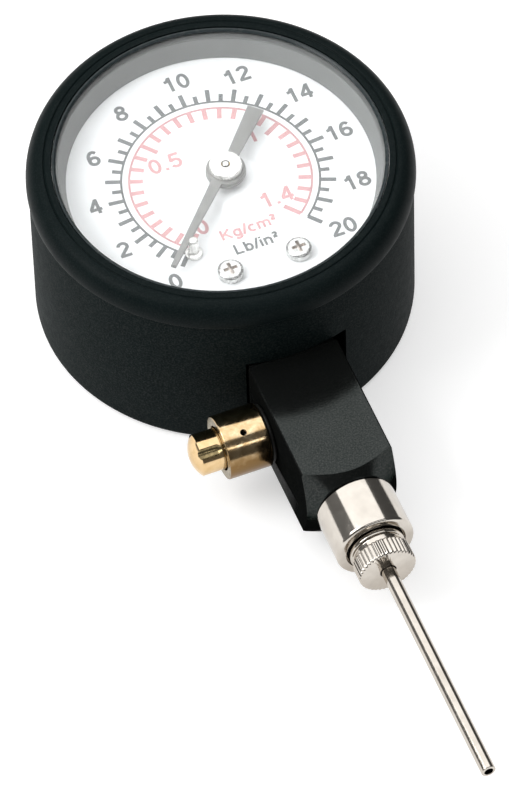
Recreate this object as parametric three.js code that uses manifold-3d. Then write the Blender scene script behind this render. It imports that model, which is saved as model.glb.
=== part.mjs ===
// Ball pressure gauge: a 52 mm dial gauge with a square stem, a brass bleed valve on the
// stem's left side, and a screw-in ball needle. Millimetres, +Z out of the dial, needle
// towards -Y. The origin is the centre of the case back, so the gauge lies on Z = 0.

import * as THREE from 'three';
import { mergeVertices } from 'three/addons/utils/BufferGeometryUtils.js';
import Module from 'manifold-3d';

const wasm = await Module();
wasm.setup();

// ---------------------------------------------------------------- driving dimensions

// clearances
const seat = 0.1;            // between faces that rest on each other
const slip = 0.15;           // radial gap of a part dropped or screwed into another
const running = 0.1;         // radial gap round a turning or sliding part

// facets
const bigSides = 48;         // case, bezel, lens, dial
const midSides = 24;         // sleeve, valve, collar
const smallSides = 12;       // screws, pins, pivots

// case
const caseRadius = 25.7;
const caseWall = 1.8;
const caseFloor = 1.6;
const backRound = 1.0;
const neckInset = 0.9;       // the bezel snaps over a thinner neck
const neckLength = 1.5;
const beadHeight = 0.12;     // snap bead round the neck
const slotMargin = 1.6;      // stem slot beside the stem
const slotHeadroom = 0.4;    // stem slot above and below the stem
const slotDepth = 4.2;       // stem slot inwards from the case side
const padWall = 4.5;         // floor pad beyond the upper case screw

// bezel and lens
const bezelOverhang = 0.3;
const bezelHeight = 3.4;
const bezelCrown = 3.0;      // height of the rounded shoulder
const bezelFace = 4.1;       // from the rim to the window
const lipWidth = 1.4;        // lip round the lens, up to the groove
const lipSlope = 0.6;        // part of the lip that slopes down to the lens
const lipThickness = 0.45;
const grooveWidth = 0.35;    // fine groove outside the lip
const grooveDepth = 0.2;
const lensOverlap = 1.55;
const lensThickness = 1.0;

// dial
const dialThickness = 0.5;
const dialEdgeGap = 0.4;
const dialHole = 1.5;
const windowInset = 1.65;    // the spacer ring covers the dial inside the bezel's lip
const windowFlare = 1.35;    // the spacer ring opens out towards the lens
const windowGap = 0.25;      // between pointer hub and lens

// pointer
const pointerShift = [0.66, -0.15]; // the movement's axis beside the centre of the case
const pointerAngle = 42.7;   // rest position, degrees left of straight down
const pointerSweep = 280;    // clockwise travel to full scale, degrees
const pointerLength = 17.65;
const pointerTail = 11.05;
const pointerRise = 1.75;    // underside of the blade above the dial
const bladeThickness = 0.4;
const bladeTip = 0.7;
const bladeRoot = 1.5;
const armOffset = 0.33;      // the long arm lies beside the hub's centre, further at its tip
const tipOffset = 0.57;
const tailRoot = 1.4;
const tailEnd = 2.3;
const hubRadius = 2.7;
const hubCapRadius = 2.2;
const bladeEye = 2.65;
const hubFlange = 0.5;
const hubCap = 0.9;
const stopPinRadius = 0.6;
const stopPinDistance = 13.4;
const stopPinHeight = 3.2;
const stopFlangeRadius = 1.15;
const stopFlange = 0.5;

// dial fasteners
const dialScrewSpread = 4.85;
const dialScrewShift = 0.2;
const dialScrewDrop = 15.3;
const dialScrewHead = 1.75;
const dialScrewHeadHeight = 1.2;
const dialScrewShank = 0.7;
const dialScrewLength = 3.2;
const postRadius = 1.7;
const postSpigot = 0.65;
const postSpigotLength = 2.2;

// stem block
const axisHeight = 9.86;     // needle axis above the back
const stemWidth = 12.7;
const stemEdge = 0.4;        // broken edges of the bar
const stemInset = 0.3;       // the bar is milled thinner inside the case
const stemShoulderInset = 0.5; // full section starts just inside the case side
const stemInnerEnd = 9.5;
const stemReach = 21.7;      // stem beyond the case side
const bossRadius = 5.3;
const bossLength = 0.6;
const coneSlope = 1.44;      // turned end: radius gained per mm towards the case
const airBore = 1.25;

// outlet sleeve
const sleeveRadius = 5.45;
const sleeveLength = 6.8;
const sleeveRound = 0.6;
const sleeveRim = 1.3;
const sleeveRecess = 1.5;
const sleeveThread = 3.45;
const sleeveThreadLength = 5.5;
const gasketThickness = 1.1;

// needle
const needleThread = 3.05;
const needleThreadLength = 2.8;
const neckRadius = 2.85;
const ringSection = 0.5;
const collarRadius = 4.0;
const shoulderRadius = 3.85; // smooth flange of the collar, over the needle's ring
const shoulderLength = 0.95;
const waistRadius = 3.45;    // groove between the flange and the knurl
const collarGap = 1.6;       // between sleeve and knurl
const collarLength = 2.65;
const collarCone = 0.4;
const knurlTeeth = 40;
const knurlDepth = 0.22;
const collarChamfer = 0.35;
const needleRadius = 1.0;
const needleBore = 0.62;
const needleReach = 45.4;    // tip beyond the stem's turned end
const needleTipRound = 0.35;
const needleRoot = 4.0;      // length of tube held inside the collar

// bleed valve
const valveReach = 6.1;      // valve axis beyond the case side
const valveRadius = 4.4;
const valveLength = 6.05;
const valveMouthWall = 0.6;
const valveStub = 2.9;
const valveStubLength = 3.6;
const valveWeb = 2.2;        // height of the web that the spring stands on
const valveBoreDepth = 7.2;
const valveRingSection = 0.3;
const valveChamfer = 0.25;
const bleedHole = 0.45;
const bleedHoleHeight = 3.9;
const bleedHoleTurn = 22;
const buttonRadius = 2.95;
const buttonFlange = 0.35;
const buttonFlangeLength = 0.8;
const buttonReach = 4.2;
const buttonDome = 1.05;
const buttonTravel = 1.5;
const buttonGrooveWidth = 1.3;
const buttonGrooveDepth = 0.45;
const buttonGrooveInset = 0.3; // groove starts this far outside the valve body
const buttonGrooveTurn = 44;
const plungerRadius = 0.6;
const sealRadius = 1.8;
const sealThickness = 0.9;
const springWire = 0.25;
const springRadius = 2.45;
const springTurns = 3.5;

// movement
const gearModule = 0.22;
const pinionTeeth = 12;
const sectorTeeth = 110;     // on a full circle
const pressureAngle = 25;
const toothThinning = 0.03;
const sectorBearing = 57.2;  // direction from the sector's pivot to the pinion, degrees
const sectorMargin = 5;      // spare teeth past each end of the travel, degrees
const sectorThickness = 0.8;
const sectorRim = 2.0;
const sectorHub = 2.0;
const sectorArm = 1.3;
const sectorArmRoot = 1.95;
const sectorArmInset = 6;    // arms inside the ends of the rim, degrees
const tailLength = 4.5;
const tailBearing = 85;      // of the link's pin at mid travel, degrees
const tailWidth = 2.0;
const tailRootWidth = 2.8;
const plateThickness = 1.0;
const dialRoom = 0.95;       // front plate below the dial, room for screw heads
const pillarHeight = 3.49;
const pillarRadius = 1.1;
const pillarSpigot = 0.6;
const pivotRadius = 0.5;
const arborRadius = 0.75;
const arborTip = 0.45;       // turned down where it shows in the hub's cap
const linkLength = 7.0;
const linkWidth = 1.8;
const linkThickness = 0.5;
const linkPin = 0.45;
const linkHole = 0.7;        // loose on its pins
const linkGap = 0.3;
const tubeRadius = 17.5;
const tubeWidth = 6.0;
const tubeThickness = 1.8;
const tubeStart = -86;
const tubeEnd = 203;
const tipSpan = 7;           // arc that the end cap covers, degrees
const tipWall = 0.9;
const tipGrip = 2;           // degrees of tube held in the end cap
const tipEarWidth = 2.4;
const tipEarThickness = 1.0;
const pocketSpan = 30;       // arc of the milled pocket that holds the tube's root, degrees
const pocketLead = 4;        // pocket before the tube's root, where the air comes in, degrees
const hairspringTurns = 4;
const hairspringInner = 1.25;
const hairspringOuter = 4.3;
const hairspringWidth = 0.55;
const hairspringThickness = 0.16;
const hairspringStud = 0.35;
const hairspringEnd = -150;  // direction of its fixed end, degrees

// places of the small fasteners
const caseScrewInset = 5.2;  // lower case screw inside the case side
const caseScrewPitch = 7.5;

// ---------------------------------------------------------------- derived places

const caseBore = caseRadius - caseWall;
const neckOuter = caseRadius - neckInset;
const bezelRadius = caseRadius + bezelOverhang;
const lensOpening = bezelRadius - bezelFace;
const lensSeatRadius = lensOpening + lensOverlap;
const lensRadius = lensSeatRadius - slip;
const windowRadius = lensOpening - windowInset;
const stemHalf = stemWidth / 2;
const innerHalf = stemHalf - stemInset;
const stemTop = axisHeight + innerHalf;
const stemBottom = axisHeight - innerHalf;
const stemShoulder = caseRadius - stemShoulderInset;
const stemEnd = caseRadius + stemReach;
const valveDistance = caseRadius + valveReach;

const pinionPitch = gearModule * pinionTeeth / 2;
const sectorPitch = gearModule * sectorTeeth / 2;
const gearRatio = sectorTeeth / pinionTeeth;
const sectorSweep = pointerSweep / gearRatio;
const sectorPivot = polar(-(pinionPitch + sectorPitch), sectorBearing);
const tailRest = tailBearing - sectorSweep / 2;
const tailPin = polar(tailLength, tailRest).add(sectorPivot);
const tipPin = polar(linkLength, tailBearing + 90).add(tailPin);

// the stack, from the stem up: movement, dial, pointer, lens, bezel
const backPlateBottom = stemTop + seat;
const backPlateTop = backPlateBottom + plateThickness;
const linkBottom = backPlateTop + linkGap;
const sectorBottom = linkBottom + linkThickness + linkGap;
const sectorTop = sectorBottom + sectorThickness;
const frontPlateBottom = backPlateTop + pillarHeight + 2 * seat;
const frontPlateTop = frontPlateBottom + plateThickness;
const hairspringLevel = (sectorTop + frontPlateBottom) / 2;
const dialUnderside = frontPlateTop + dialRoom;
const dialHeight = dialUnderside + dialThickness;
const bladeBottom = dialHeight + pointerRise;
const bladeTop = bladeBottom + bladeThickness;
const hubTop = bladeTop + seat + hubCap;
const lensBottom = hubTop + windowGap;
const lensTop = lensBottom + lensThickness;
const bezelTop = lensTop + seat + lipThickness;
const shoulderHeight = bezelTop - bezelHeight - seat;
const neckTop = shoulderHeight + neckLength;

const pillarPlaces = [[5.0, -11.5], [4.4, 2.6], [-9.6, -13.9]];
const movementScrewPlaces = [[-2.6, -11.8], [1.6, -11.8]];
const lowerCaseScrew = caseScrewInset - caseRadius;
const caseScrewPlaces = [[0, lowerCaseScrew + caseScrewPitch], [0, lowerCaseScrew]];
const postPlaces = [-dialScrewSpread, dialScrewSpread].map((x) => [x + dialScrewShift, -dialScrewDrop]);

const pillarScrew = { head: 1.0, headHeight: 0.5, shank: 0.35, length: 1.9 };
const movementScrew = { head: 1.3, headHeight: 0.6, shank: 0.65, length: 2.8 };
const caseScrew = { head: 2.3, headHeight: 1.2, shank: 1.0, length: 4.8 };
const dialScrew = {
  head: dialScrewHead,
  headHeight: dialScrewHeadHeight,
  shank: dialScrewShank,
  length: dialScrewLength,
};

// ---------------------------------------------------------------- shape helpers

function radians(degrees) {
  return degrees * Math.PI / 180;
}

function polar(radius, degrees) {
  return new THREE.Vector2(Math.cos(radians(degrees)), Math.sin(radians(degrees))).multiplyScalar(radius);
}

function arcPoints(radius, start, end, steps) {
  return Array.from({ length: steps + 1 }, (_, i) => polar(radius, start + (end - start) * i / steps));
}

// closed three.js geometry -> solid that can be joined and cut
function solid(geometry) {
  geometry.deleteAttribute('normal');
  geometry.deleteAttribute('uv');
  const welded = mergeVertices(geometry, 1e-4);
  const corners = welded.index.array;
  const kept = [];
  for (let i = 0; i < corners.length; i += 3) {
    const [a, b, c] = corners.slice(i, i + 3);
    if (a !== b && b !== c && c !== a) kept.push(a, b, c);
  }
  return new wasm.Manifold(new wasm.Mesh({
    numProp: 3,
    vertProperties: new Float32Array(welded.attributes.position.array),
    triVerts: new Uint32Array(kept),
  }));
}

function join(first, ...others) {
  return others.reduce((sum, other) => sum.add(other), first);
}

function cut(stock, ...tools) {
  return tools.reduce((left, tool) => left.subtract(tool), stock);
}

// quarter-round between two corners of a profile, bulging away from `centre`
function quarter(centre, radiusX, radiusY, from, to, steps) {
  return Array.from({ length: steps + 1 }, (_, i) => {
    const angle = radians(from + (to - from) * i / steps);
    return [centre[0] + radiusX * Math.cos(angle), centre[1] + radiusY * Math.sin(angle)];
  });
}

// [radius, height] outline turned about the Y axis
function turned(profile, sides) {
  const points = profile.map(([radius, height]) => new THREE.Vector2(radius, height));
  if (THREE.ShapeUtils.isClockWise(points)) points.reverse();
  points.push(points[0].clone());
  return new THREE.LatheGeometry(points, sides);
}

// the same outline turned about the Z axis, at a place on the dial plane
function turnedUp(profile, sides, [x, y] = [0, 0]) {
  return solid(turned(profile, sides).rotateX(Math.PI / 2).translate(x, y, 0));
}

// the same outline turned about the stem's axis, heights running outwards along -Y
function turnedOut(profile, sides) {
  return solid(turned(profile, sides).rotateZ(Math.PI));
}

function rod(radius, low, high) {
  return [[0, low], [radius, low], [radius, high], [0, high]];
}

function tube(inner, outer, low, high) {
  return [[inner, low], [outer, low], [outer, high], [inner, high]];
}

// round peg or drill, upright at a place on the dial plane
function peg(radius, low, high, place) {
  return turnedUp(rod(radius, low, high), smallSides, place);
}

// flat outline raised from `low` to `high` along Z
function plate(shape, low, high, curveSegments = 8) {
  const options = { depth: high - low, bevelEnabled: false, curveSegments };
  return solid(new THREE.ExtrudeGeometry(shape, options).translate(0, 0, low));
}

// polygon with rounded ends that joins two places, as for a link or an arm
function strap(from, to, widthFrom, widthTo, steps = 8) {
  const along = THREE.MathUtils.radToDeg(to.clone().sub(from).angle());
  const points = [];
  for (let i = 0; i <= steps; i += 1) {
    points.push(polar(widthFrom / 2, along + 90 + 180 * i / steps).add(from));
  }
  for (let i = 0; i <= steps; i += 1) {
    points.push(polar(widthTo / 2, along - 90 + 180 * i / steps).add(to));
  }
  return new THREE.Shape(points);
}

function box(low, high) {
  const size = high.map((value, i) => value - low[i]);
  const middle = high.map((value, i) => (value + low[i]) / 2);
  return solid(new THREE.BoxGeometry(...size).translate(...middle));
}

// doughnut about the Y axis
function ring(middleRadius, section, height, sides, sectionSides = 8) {
  const profile = quarter([middleRadius, height], section, section, 0, 360, sectionSides).slice(0, -1);
  return turned(profile, sides);
}

// flattened or round section swept along a curve, with closed ends
function swept(curve, section, steps) {
  return solid(new THREE.ExtrudeGeometry(section, { steps, extrudePath: curve, bevelEnabled: false }));
}

class PlaneCurve extends THREE.Curve {
  constructor(place) {
    super();
    this.place = place;
  }

  getPoint(t, target = new THREE.Vector3()) {
    return target.copy(this.place(t));
  }
}

// ---------------------------------------------------------------- the assembly

const gauge = new THREE.Group();
const movement = new THREE.Group();
const stem = new THREE.Group();
const outlet = new THREE.Group();
const valve = new THREE.Group();
stem.position.z = axisHeight;
outlet.position.y = -stemEnd;
outlet.rotation.z = Math.PI;
valve.position.set(-stemHalf, -valveDistance, 0);
valve.rotation.z = Math.PI / 2;
stem.add(outlet, valve);
movement.position.set(...pointerShift, 0);
gauge.add(movement, stem);

const finishes = {
  caseBlack: [0x1b1c1d, 0.62, 0],
  bezelBlack: [0x161718, 0.42, 0],
  stemBlack: [0x1e2021, 0.35, 0.3],
  clear: [0xf2f6f7, 0.05, 0],
  ringGrey: [0x8b8d8e, 0.55, 0],
  dialWhite: [0xf6f7f7, 0.6, 0],
  pointerGrey: [0x77797a, 0.4, 0.7],
  screwSteel: [0xc9cac8, 0.3, 0.9],
  brass: [0xc9a24f, 0.25, 0.95],
  movementBrass: [0xb9994f, 0.4, 0.9],
  bronze: [0xa9803f, 0.35, 0.9],
  nickel: [0xc8c6c0, 0.2, 0.95],
  springSteel: [0x8f9193, 0.3, 0.9],
  rubber: [0x17181a, 0.8, 0],
};

function piece(parent, name, body, finish) {
  const mesh = body.getMesh();
  const geometry = new THREE.BufferGeometry();
  geometry.setAttribute('position', new THREE.BufferAttribute(new Float32Array(mesh.vertProperties), 3));
  geometry.setIndex([...mesh.triVerts]);
  geometry.computeVertexNormals();
  const [color, roughness, metalness] = finishes[finish];
  const material = new THREE.MeshStandardMaterial({ color, roughness, metalness });
  if (finish === 'clear') {
    material.transparent = true;
    material.opacity = 0.35;
  }
  const part = new THREE.Mesh(geometry, material);
  part.name = name;
  parent.add(part);
  return part;
}

// pan-head screw: the head rests `seat` above `level`, the shank hangs down from it
function panScrew(size, place, level) {
  const base = level + seat;
  const profile = [
    [0, base - size.length],
    [size.shank, base - size.length],
    [size.shank, base],
    [size.head, base],
    [size.head, base + size.headHeight * 0.35],
    [size.head * 0.82, base + size.headHeight * 0.8],
    [size.head * 0.45, base + size.headHeight],
    [0, base + size.headHeight],
  ];
  return turnedUp(profile, smallSides, place);
}

// ---------------------------------------------------------------- case, bezel, lens, dial

function makeCase() {
  const beadLow = shoulderHeight + neckLength * 0.3;
  const beadHigh = shoulderHeight + neckLength * 0.7;
  const cup = turnedUp([
    [0, 0],
    ...quarter([caseRadius - backRound, backRound], backRound, backRound, -90, 0, 3),
    [caseRadius, shoulderHeight],
    [neckOuter, shoulderHeight],
    [neckOuter, beadLow],
    [neckOuter + beadHeight, (beadLow + beadHigh) / 2],
    [neckOuter, beadHigh],
    [neckOuter, neckTop],
    [caseBore, neckTop],
    [caseBore, caseFloor],
    [0, caseFloor],
  ], bigSides);
  const padTop = stemBottom - seat;
  const pad = box(
    [-innerHalf + 1, caseScrewPlaces[1][1] - caseScrew.head, caseFloor / 2],
    [innerHalf - 1, caseScrewPlaces[0][1] + padWall, padTop],
  );
  const slot = box(
    [-stemHalf - slotMargin, -caseRadius - 1, axisHeight - stemHalf - slotHeadroom],
    [stemHalf + slotMargin, slotDepth - caseRadius, axisHeight + stemHalf + slotHeadroom],
  );
  const screwHoles = caseScrewPlaces.flatMap((place) => [
    peg(caseScrew.shank + slip, -1, padTop + 1, place),
    peg(caseScrew.head + slip, -1, caseScrew.headHeight + 2 * seat, place),
  ]);
  return cut(join(cup, pad), slot, ...screwHoles);
}

function makeBezel() {
  const seam = shoulderHeight + seat;
  const skirtBore = neckOuter + slip;
  const beadLow = shoulderHeight + neckLength * 0.3 - seat;
  const beadHigh = shoulderHeight + neckLength * 0.7 + seat;
  const lipOuter = lensOpening + lipWidth;
  const grooveOuter = lipOuter + grooveWidth;
  const crownWidth = bezelRadius - grooveOuter;
  return turnedUp([
    [skirtBore, seam],
    [bezelRadius - 0.1, seam],
    [bezelRadius, seam + 0.25],
    ...quarter([grooveOuter, bezelTop - bezelCrown], crownWidth, bezelCrown, 0, 90, 7),
    [(grooveOuter + lipOuter) / 2, bezelTop - grooveDepth],
    [lipOuter, bezelTop],
    [lensOpening + lipSlope, bezelTop],
    [lensOpening, bezelTop - lipThickness + 0.1],
    [lensOpening, bezelTop - lipThickness],
    [lensSeatRadius, bezelTop - lipThickness],
    [lensSeatRadius, neckTop + seat],
    [skirtBore, neckTop + seat],
    [skirtBore, beadHigh],
    [skirtBore + beadHeight, (beadLow + beadHigh) / 2],
    [skirtBore, beadLow],
  ], bigSides);
}

function makeLens() {
  const edge = 0.15;
  return turnedUp([
    [0, lensBottom],
    [lensRadius - edge, lensBottom],
    [lensRadius, lensBottom + edge],
    [lensRadius, lensTop - edge],
    [lensRadius - edge, lensTop],
    [0, lensTop],
  ], bigSides);
}

function makeSpacerRing() {
  return turnedUp([
    [windowRadius, dialHeight + seat],
    [lensRadius, dialHeight + seat],
    [lensRadius, lensBottom - seat],
    [windowRadius + windowFlare, lensBottom - seat],
  ], bigSides);
}

function stopPinPlace() {
  const share = (stopPinDistance - hubCapRadius) / (pointerLength - hubCapRadius);
  const bladeHalf = (bladeRoot + (bladeTip - bladeRoot) * share) / 2;
  const edge = bladeHalf - armOffset - (tipOffset - armOffset) * share;
  const offset = Math.asin((stopPinRadius + edge + seat) / stopPinDistance) * 180 / Math.PI;
  const place = polar(stopPinDistance, -90 - pointerAngle + offset);
  return [place.x + pointerShift[0], place.y + pointerShift[1]];
}

function makeDial() {
  const disc = turnedUp(rod(caseBore - dialEdgeGap, dialUnderside, dialHeight), bigSides);
  const middle = turnedUp(rod(dialHole, dialUnderside - 1, dialHeight + 1), midSides, pointerShift);
  const screwHoles = postPlaces.map((place) => (
    peg(dialScrewShank + slip, dialUnderside - 1, dialHeight + 1, place)
  ));
  const pinHole = peg(stopPinRadius + slip, dialUnderside - 1, dialHeight + 1, stopPinPlace());
  return cut(disc, middle, pinHole, ...screwHoles);
}

function makeStopPin() {
  const base = dialHeight + seat;
  return turnedUp([
    [0, dialUnderside],
    [stopPinRadius, dialUnderside],
    [stopPinRadius, base],
    [stopFlangeRadius, base],
    [stopFlangeRadius, base + stopFlange * 0.6],
    [stopFlangeRadius - 0.25, base + stopFlange],
    [stopPinRadius, base + stopFlange],
    [stopPinRadius, dialHeight + stopPinHeight - 0.15],
    [stopPinRadius - 0.15, dialHeight + stopPinHeight],
    [0, dialHeight + stopPinHeight],
  ], smallSides, stopPinPlace());
}

function makePost(place) {
  const base = stemTop + seat;
  const top = dialUnderside - seat;
  const post = turnedUp([
    [0, base - postSpigotLength],
    [postSpigot, base - postSpigotLength],
    [postSpigot, base],
    [postRadius, base],
    [postRadius, top - 0.2],
    [postRadius - 0.2, top],
    [0, top],
  ], smallSides, place);
  return cut(post, peg(dialScrewShank + slip, dialUnderside - dialScrewLength, top + 1, place));
}

piece(gauge, 'case_cup', makeCase(), 'caseBlack');
piece(gauge, 'bezel_ring', makeBezel(), 'bezelBlack');
piece(gauge, 'lens', makeLens(), 'clear');
piece(gauge, 'spacer_ring', makeSpacerRing(), 'ringGrey');
piece(gauge, 'dial_plate', makeDial(), 'dialWhite');
piece(gauge, 'stop_pin', makeStopPin(), 'screwSteel');
['left', 'right'].forEach((side, i) => {
  piece(gauge, `dial_screw_${side}`, panScrew(dialScrew, postPlaces[i], dialHeight), 'screwSteel');
  piece(gauge, `dial_post_${side}`, makePost(postPlaces[i]), 'movementBrass');
});
['upper', 'lower'].forEach((end, i) => {
  const [x, y] = caseScrewPlaces[i];
  const screw = piece(gauge, `case_screw_${end}`, panScrew(caseScrew, [0, 0], 0), 'screwSteel');
  screw.rotation.x = Math.PI;
  screw.position.set(x, y, caseScrew.headHeight + 2 * seat);
});

// ---------------------------------------------------------------- pointer

// outline with the tip towards -Y; it is turned to its rest position afterwards
function makeBlade() {
  const outline = new THREE.Shape([
    new THREE.Vector2(bladeTip / 2 - tipOffset, -pointerLength),
    new THREE.Vector2(bladeRoot / 2 - armOffset, -hubCapRadius),
    new THREE.Vector2(tailRoot / 2, hubCapRadius),
    new THREE.Vector2(tailEnd / 2, pointerTail),
    new THREE.Vector2(-tailEnd / 2, pointerTail),
    new THREE.Vector2(-tailRoot / 2, hubCapRadius),
    new THREE.Vector2(-bladeRoot / 2 - armOffset, -hubCapRadius),
    new THREE.Vector2(-bladeTip / 2 - tipOffset, -pointerLength),
  ]);
  const eye = turnedUp(rod(bladeEye, bladeBottom, bladeTop), midSides);
  const bore = turnedUp(rod(arborRadius + slip + 0.6 + seat, bladeBottom - 1, bladeTop + 1), smallSides);
  return cut(join(plate(outline, bladeBottom, bladeTop), eye), bore);
}

function makeHub() {
  const bore = arborRadius + slip;
  const flangeTop = bladeBottom - seat;
  const capBottom = bladeTop + seat;
  return turnedUp([
    [bore, flangeTop - hubFlange],
    [hubRadius - 0.15, flangeTop - hubFlange],
    [hubRadius, flangeTop - hubFlange + 0.15],
    [hubRadius, flangeTop],
    [bore + 0.6, flangeTop],
    [bore + 0.6, capBottom],
    [hubCapRadius, capBottom],
    [hubCapRadius, hubTop - 0.35],
    [hubCapRadius - 0.35, hubTop],
    [arborTip + slip, hubTop],
    [arborTip + slip, hubTop - hubCap / 2],
    [bore, hubTop - hubCap / 2],
  ], midSides);
}

const pointer = new THREE.Group();
pointer.rotation.z = -radians(pointerAngle);
movement.add(pointer);
piece(pointer, 'pointer_blade', makeBlade(), 'pointerGrey');
piece(pointer, 'pointer_hub', makeHub(), 'pointerGrey');

// ---------------------------------------------------------------- movement

function involute(angle) {
  return Math.tan(angle) - angle;
}

// half of the angle that a tooth covers at a given radius
function toothHalfAngle(teeth, radius) {
  const pitch = gearModule * teeth / 2;
  const base = pitch * Math.cos(radians(pressureAngle));
  const here = Math.acos(Math.min(1, base / Math.max(radius, base)));
  const atPitch = Math.PI / (2 * teeth) - toothThinning / (2 * pitch);
  return atPitch + involute(radians(pressureAngle)) - involute(here);
}

// points of one tooth, from its right root to its left root, centred on `bearing`
function toothPoints(teeth, bearing, addendum) {
  const pitch = gearModule * teeth / 2;
  const root = pitch - 1.25 * gearModule;
  const radii = [root, pitch - 0.4 * gearModule, pitch, pitch + 0.45 * gearModule, pitch + addendum];
  const flank = radii.map((radius) => [radius, toothHalfAngle(teeth, radius)]);
  const right = flank.map(([radius, half]) => polar(radius, bearing - half * 180 / Math.PI));
  const left = flank.map(([radius, half]) => polar(radius, bearing + half * 180 / Math.PI)).reverse();
  return [...right, ...left];
}

// pinion and staff are cut from one rod: lower pivot, leaves, upper pivot, taper for the hub
function makePinionArbor() {
  const step = 360 / pinionTeeth;
  const outline = [];
  for (let i = 0; i < pinionTeeth; i += 1) {
    outline.push(...toothPoints(pinionTeeth, 180 + sectorBearing + (i + 0.5) * step, 0.85 * gearModule));
  }
  const leavesLow = sectorBottom - linkGap;
  const leavesHigh = sectorTop + linkGap;
  const leaves = plate(new THREE.Shape(outline), leavesLow, leavesHigh);
  const colletHalf = hairspringWidth / 2 + 0.1;
  const staff = turnedUp([
    [0, backPlateBottom + seat],
    [pivotRadius, backPlateBottom + seat],
    [pivotRadius, backPlateTop + seat],
    [arborRadius, backPlateTop + seat],
    [arborRadius, hairspringLevel - colletHalf],
    [hairspringInner - 0.25, hairspringLevel - colletHalf],
    [hairspringInner - 0.25, hairspringLevel + colletHalf],
    [arborRadius, hairspringLevel + colletHalf],
    [arborRadius, hubTop - hubCap / 2 - seat],
    [arborTip, hubTop - hubCap / 2 - seat],
    [arborTip, hubTop],
    [arborTip - 0.1, hubTop + seat],
    [0, hubTop + seat],
  ], smallSides);
  return join(staff, leaves);
}

function makeSector() {
  const step = 360 / sectorTeeth;
  const first = -Math.ceil((sectorSweep + sectorMargin) / step);
  const last = Math.ceil(sectorMargin / step);
  const teeth = [];
  for (let i = first; i <= last; i += 1) {
    teeth.push(...toothPoints(sectorTeeth, sectorBearing + i * step, gearModule));
  }
  const rimInner = sectorPitch - sectorRim;
  const rimMiddle = sectorPitch - sectorRim * 0.7;
  const firstAngle = sectorBearing + (first - 0.5) * step;
  const lastAngle = sectorBearing + (last + 0.5) * step;
  const inner = arcPoints(rimInner, lastAngle, firstAngle, 8);
  const origin = new THREE.Vector2();
  const arms = [firstAngle + sectorArmInset, lastAngle - sectorArmInset].map((bearing) => (
    plate(strap(origin, polar(rimMiddle, bearing), sectorArmRoot, sectorArm, 4), sectorBottom, sectorTop)
  ));
  const tailEnd = polar(tailLength, tailRest);
  const tail = plate(strap(origin, tailEnd, tailRootWidth, tailWidth), sectorBottom, sectorTop);
  const hub = turnedUp(rod(sectorHub, sectorBottom, sectorTop), smallSides);
  const rim = plate(new THREE.Shape([...teeth, ...inner]), sectorBottom, sectorTop);
  const pin = peg(linkPin, linkBottom - seat, sectorBottom + seat, [tailEnd.x, tailEnd.y]);
  const bore = turnedUp(rod(arborRadius + slip, sectorBottom - 1, sectorTop + 1), smallSides);
  return cut(join(rim, ...arms, tail, hub, pin), bore);
}

function makeSectorArbor() {
  return turnedUp([
    [0, backPlateBottom + seat],
    [pivotRadius, backPlateBottom + seat],
    [pivotRadius, backPlateTop + seat],
    [arborRadius + 0.5, backPlateTop + seat],
    [arborRadius + 0.5, sectorBottom - seat],
    [arborRadius, sectorBottom - seat],
    [arborRadius, frontPlateBottom - seat],
    [pivotRadius, frontPlateBottom - seat],
    [pivotRadius, frontPlateTop],
    [0, frontPlateTop],
  ], smallSides);
}

// both plates share one outline: lobes round the pivots and pillars, joined by webs
function plateOutline(low, high, lobes) {
  const webs = lobes.map((lobe, i) => {
    const next = lobes[(i + 1) % lobes.length];
    return plate(strap(lobe.place, next.place, lobe.width, next.width, 4), low, high);
  });
  const middle = plate(new THREE.Shape(lobes.map((lobe) => lobe.place)), low, high);
  return join(middle, ...webs);
}

function plateHoles(radii, low, high) {
  return radii.map(([place, radius]) => peg(radius, low - 1, high + 1, place));
}

const pivotPlace = [sectorPivot.x, sectorPivot.y];
const pillarLobes = pillarPlaces.map(([x, y]) => ({ place: new THREE.Vector2(x, y), width: 3.6 }));
const cornerLobe = { place: new THREE.Vector2(-1.5, 1.2), width: 4.2 };
const plateLobes = [pillarLobes[0], pillarLobes[1], cornerLobe, pillarLobes[2]];
const postScallops = postPlaces.map(([x, y]) => (
  [[x - pointerShift[0], y - pointerShift[1]], postRadius + 2 * slip]
));

function makeBackPlate() {
  const holes = plateHoles([
    ...postScallops,
    [[0, 0], pivotRadius + running],
    [pivotPlace, pivotRadius + running],
    ...pillarPlaces.map((place) => [place, pillarSpigot + slip]),
    ...movementScrewPlaces.map((place) => [place, movementScrew.shank + slip]),
  ], backPlateBottom, backPlateTop);
  return cut(plateOutline(backPlateBottom, backPlateTop, plateLobes), ...holes);
}

function makeFrontPlate() {
  const holes = plateHoles([
    ...postScallops,
    [[0, 0], arborRadius + running],
    [pivotPlace, pivotRadius + running],
    [hairspringStudPlace(), hairspringStud + slip],
    ...pillarPlaces.map((place) => [place, pillarScrew.shank + slip]),
  ], frontPlateBottom, frontPlateTop);
  return cut(plateOutline(frontPlateBottom, frontPlateTop, plateLobes), ...holes);
}

function makePillar(place) {
  const low = backPlateTop + seat;
  const high = frontPlateBottom - seat;
  const pillar = turnedUp([
    [0, backPlateBottom + seat],
    [pillarSpigot, backPlateBottom + seat],
    [pillarSpigot, low],
    [pillarRadius, low],
    [pillarRadius, high],
    [0, high],
  ], smallSides, place);
  const thread = rod(pillarScrew.shank + slip, frontPlateTop - pillarScrew.length, high + 1);
  return cut(pillar, turnedUp(thread, smallSides, place));
}

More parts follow.
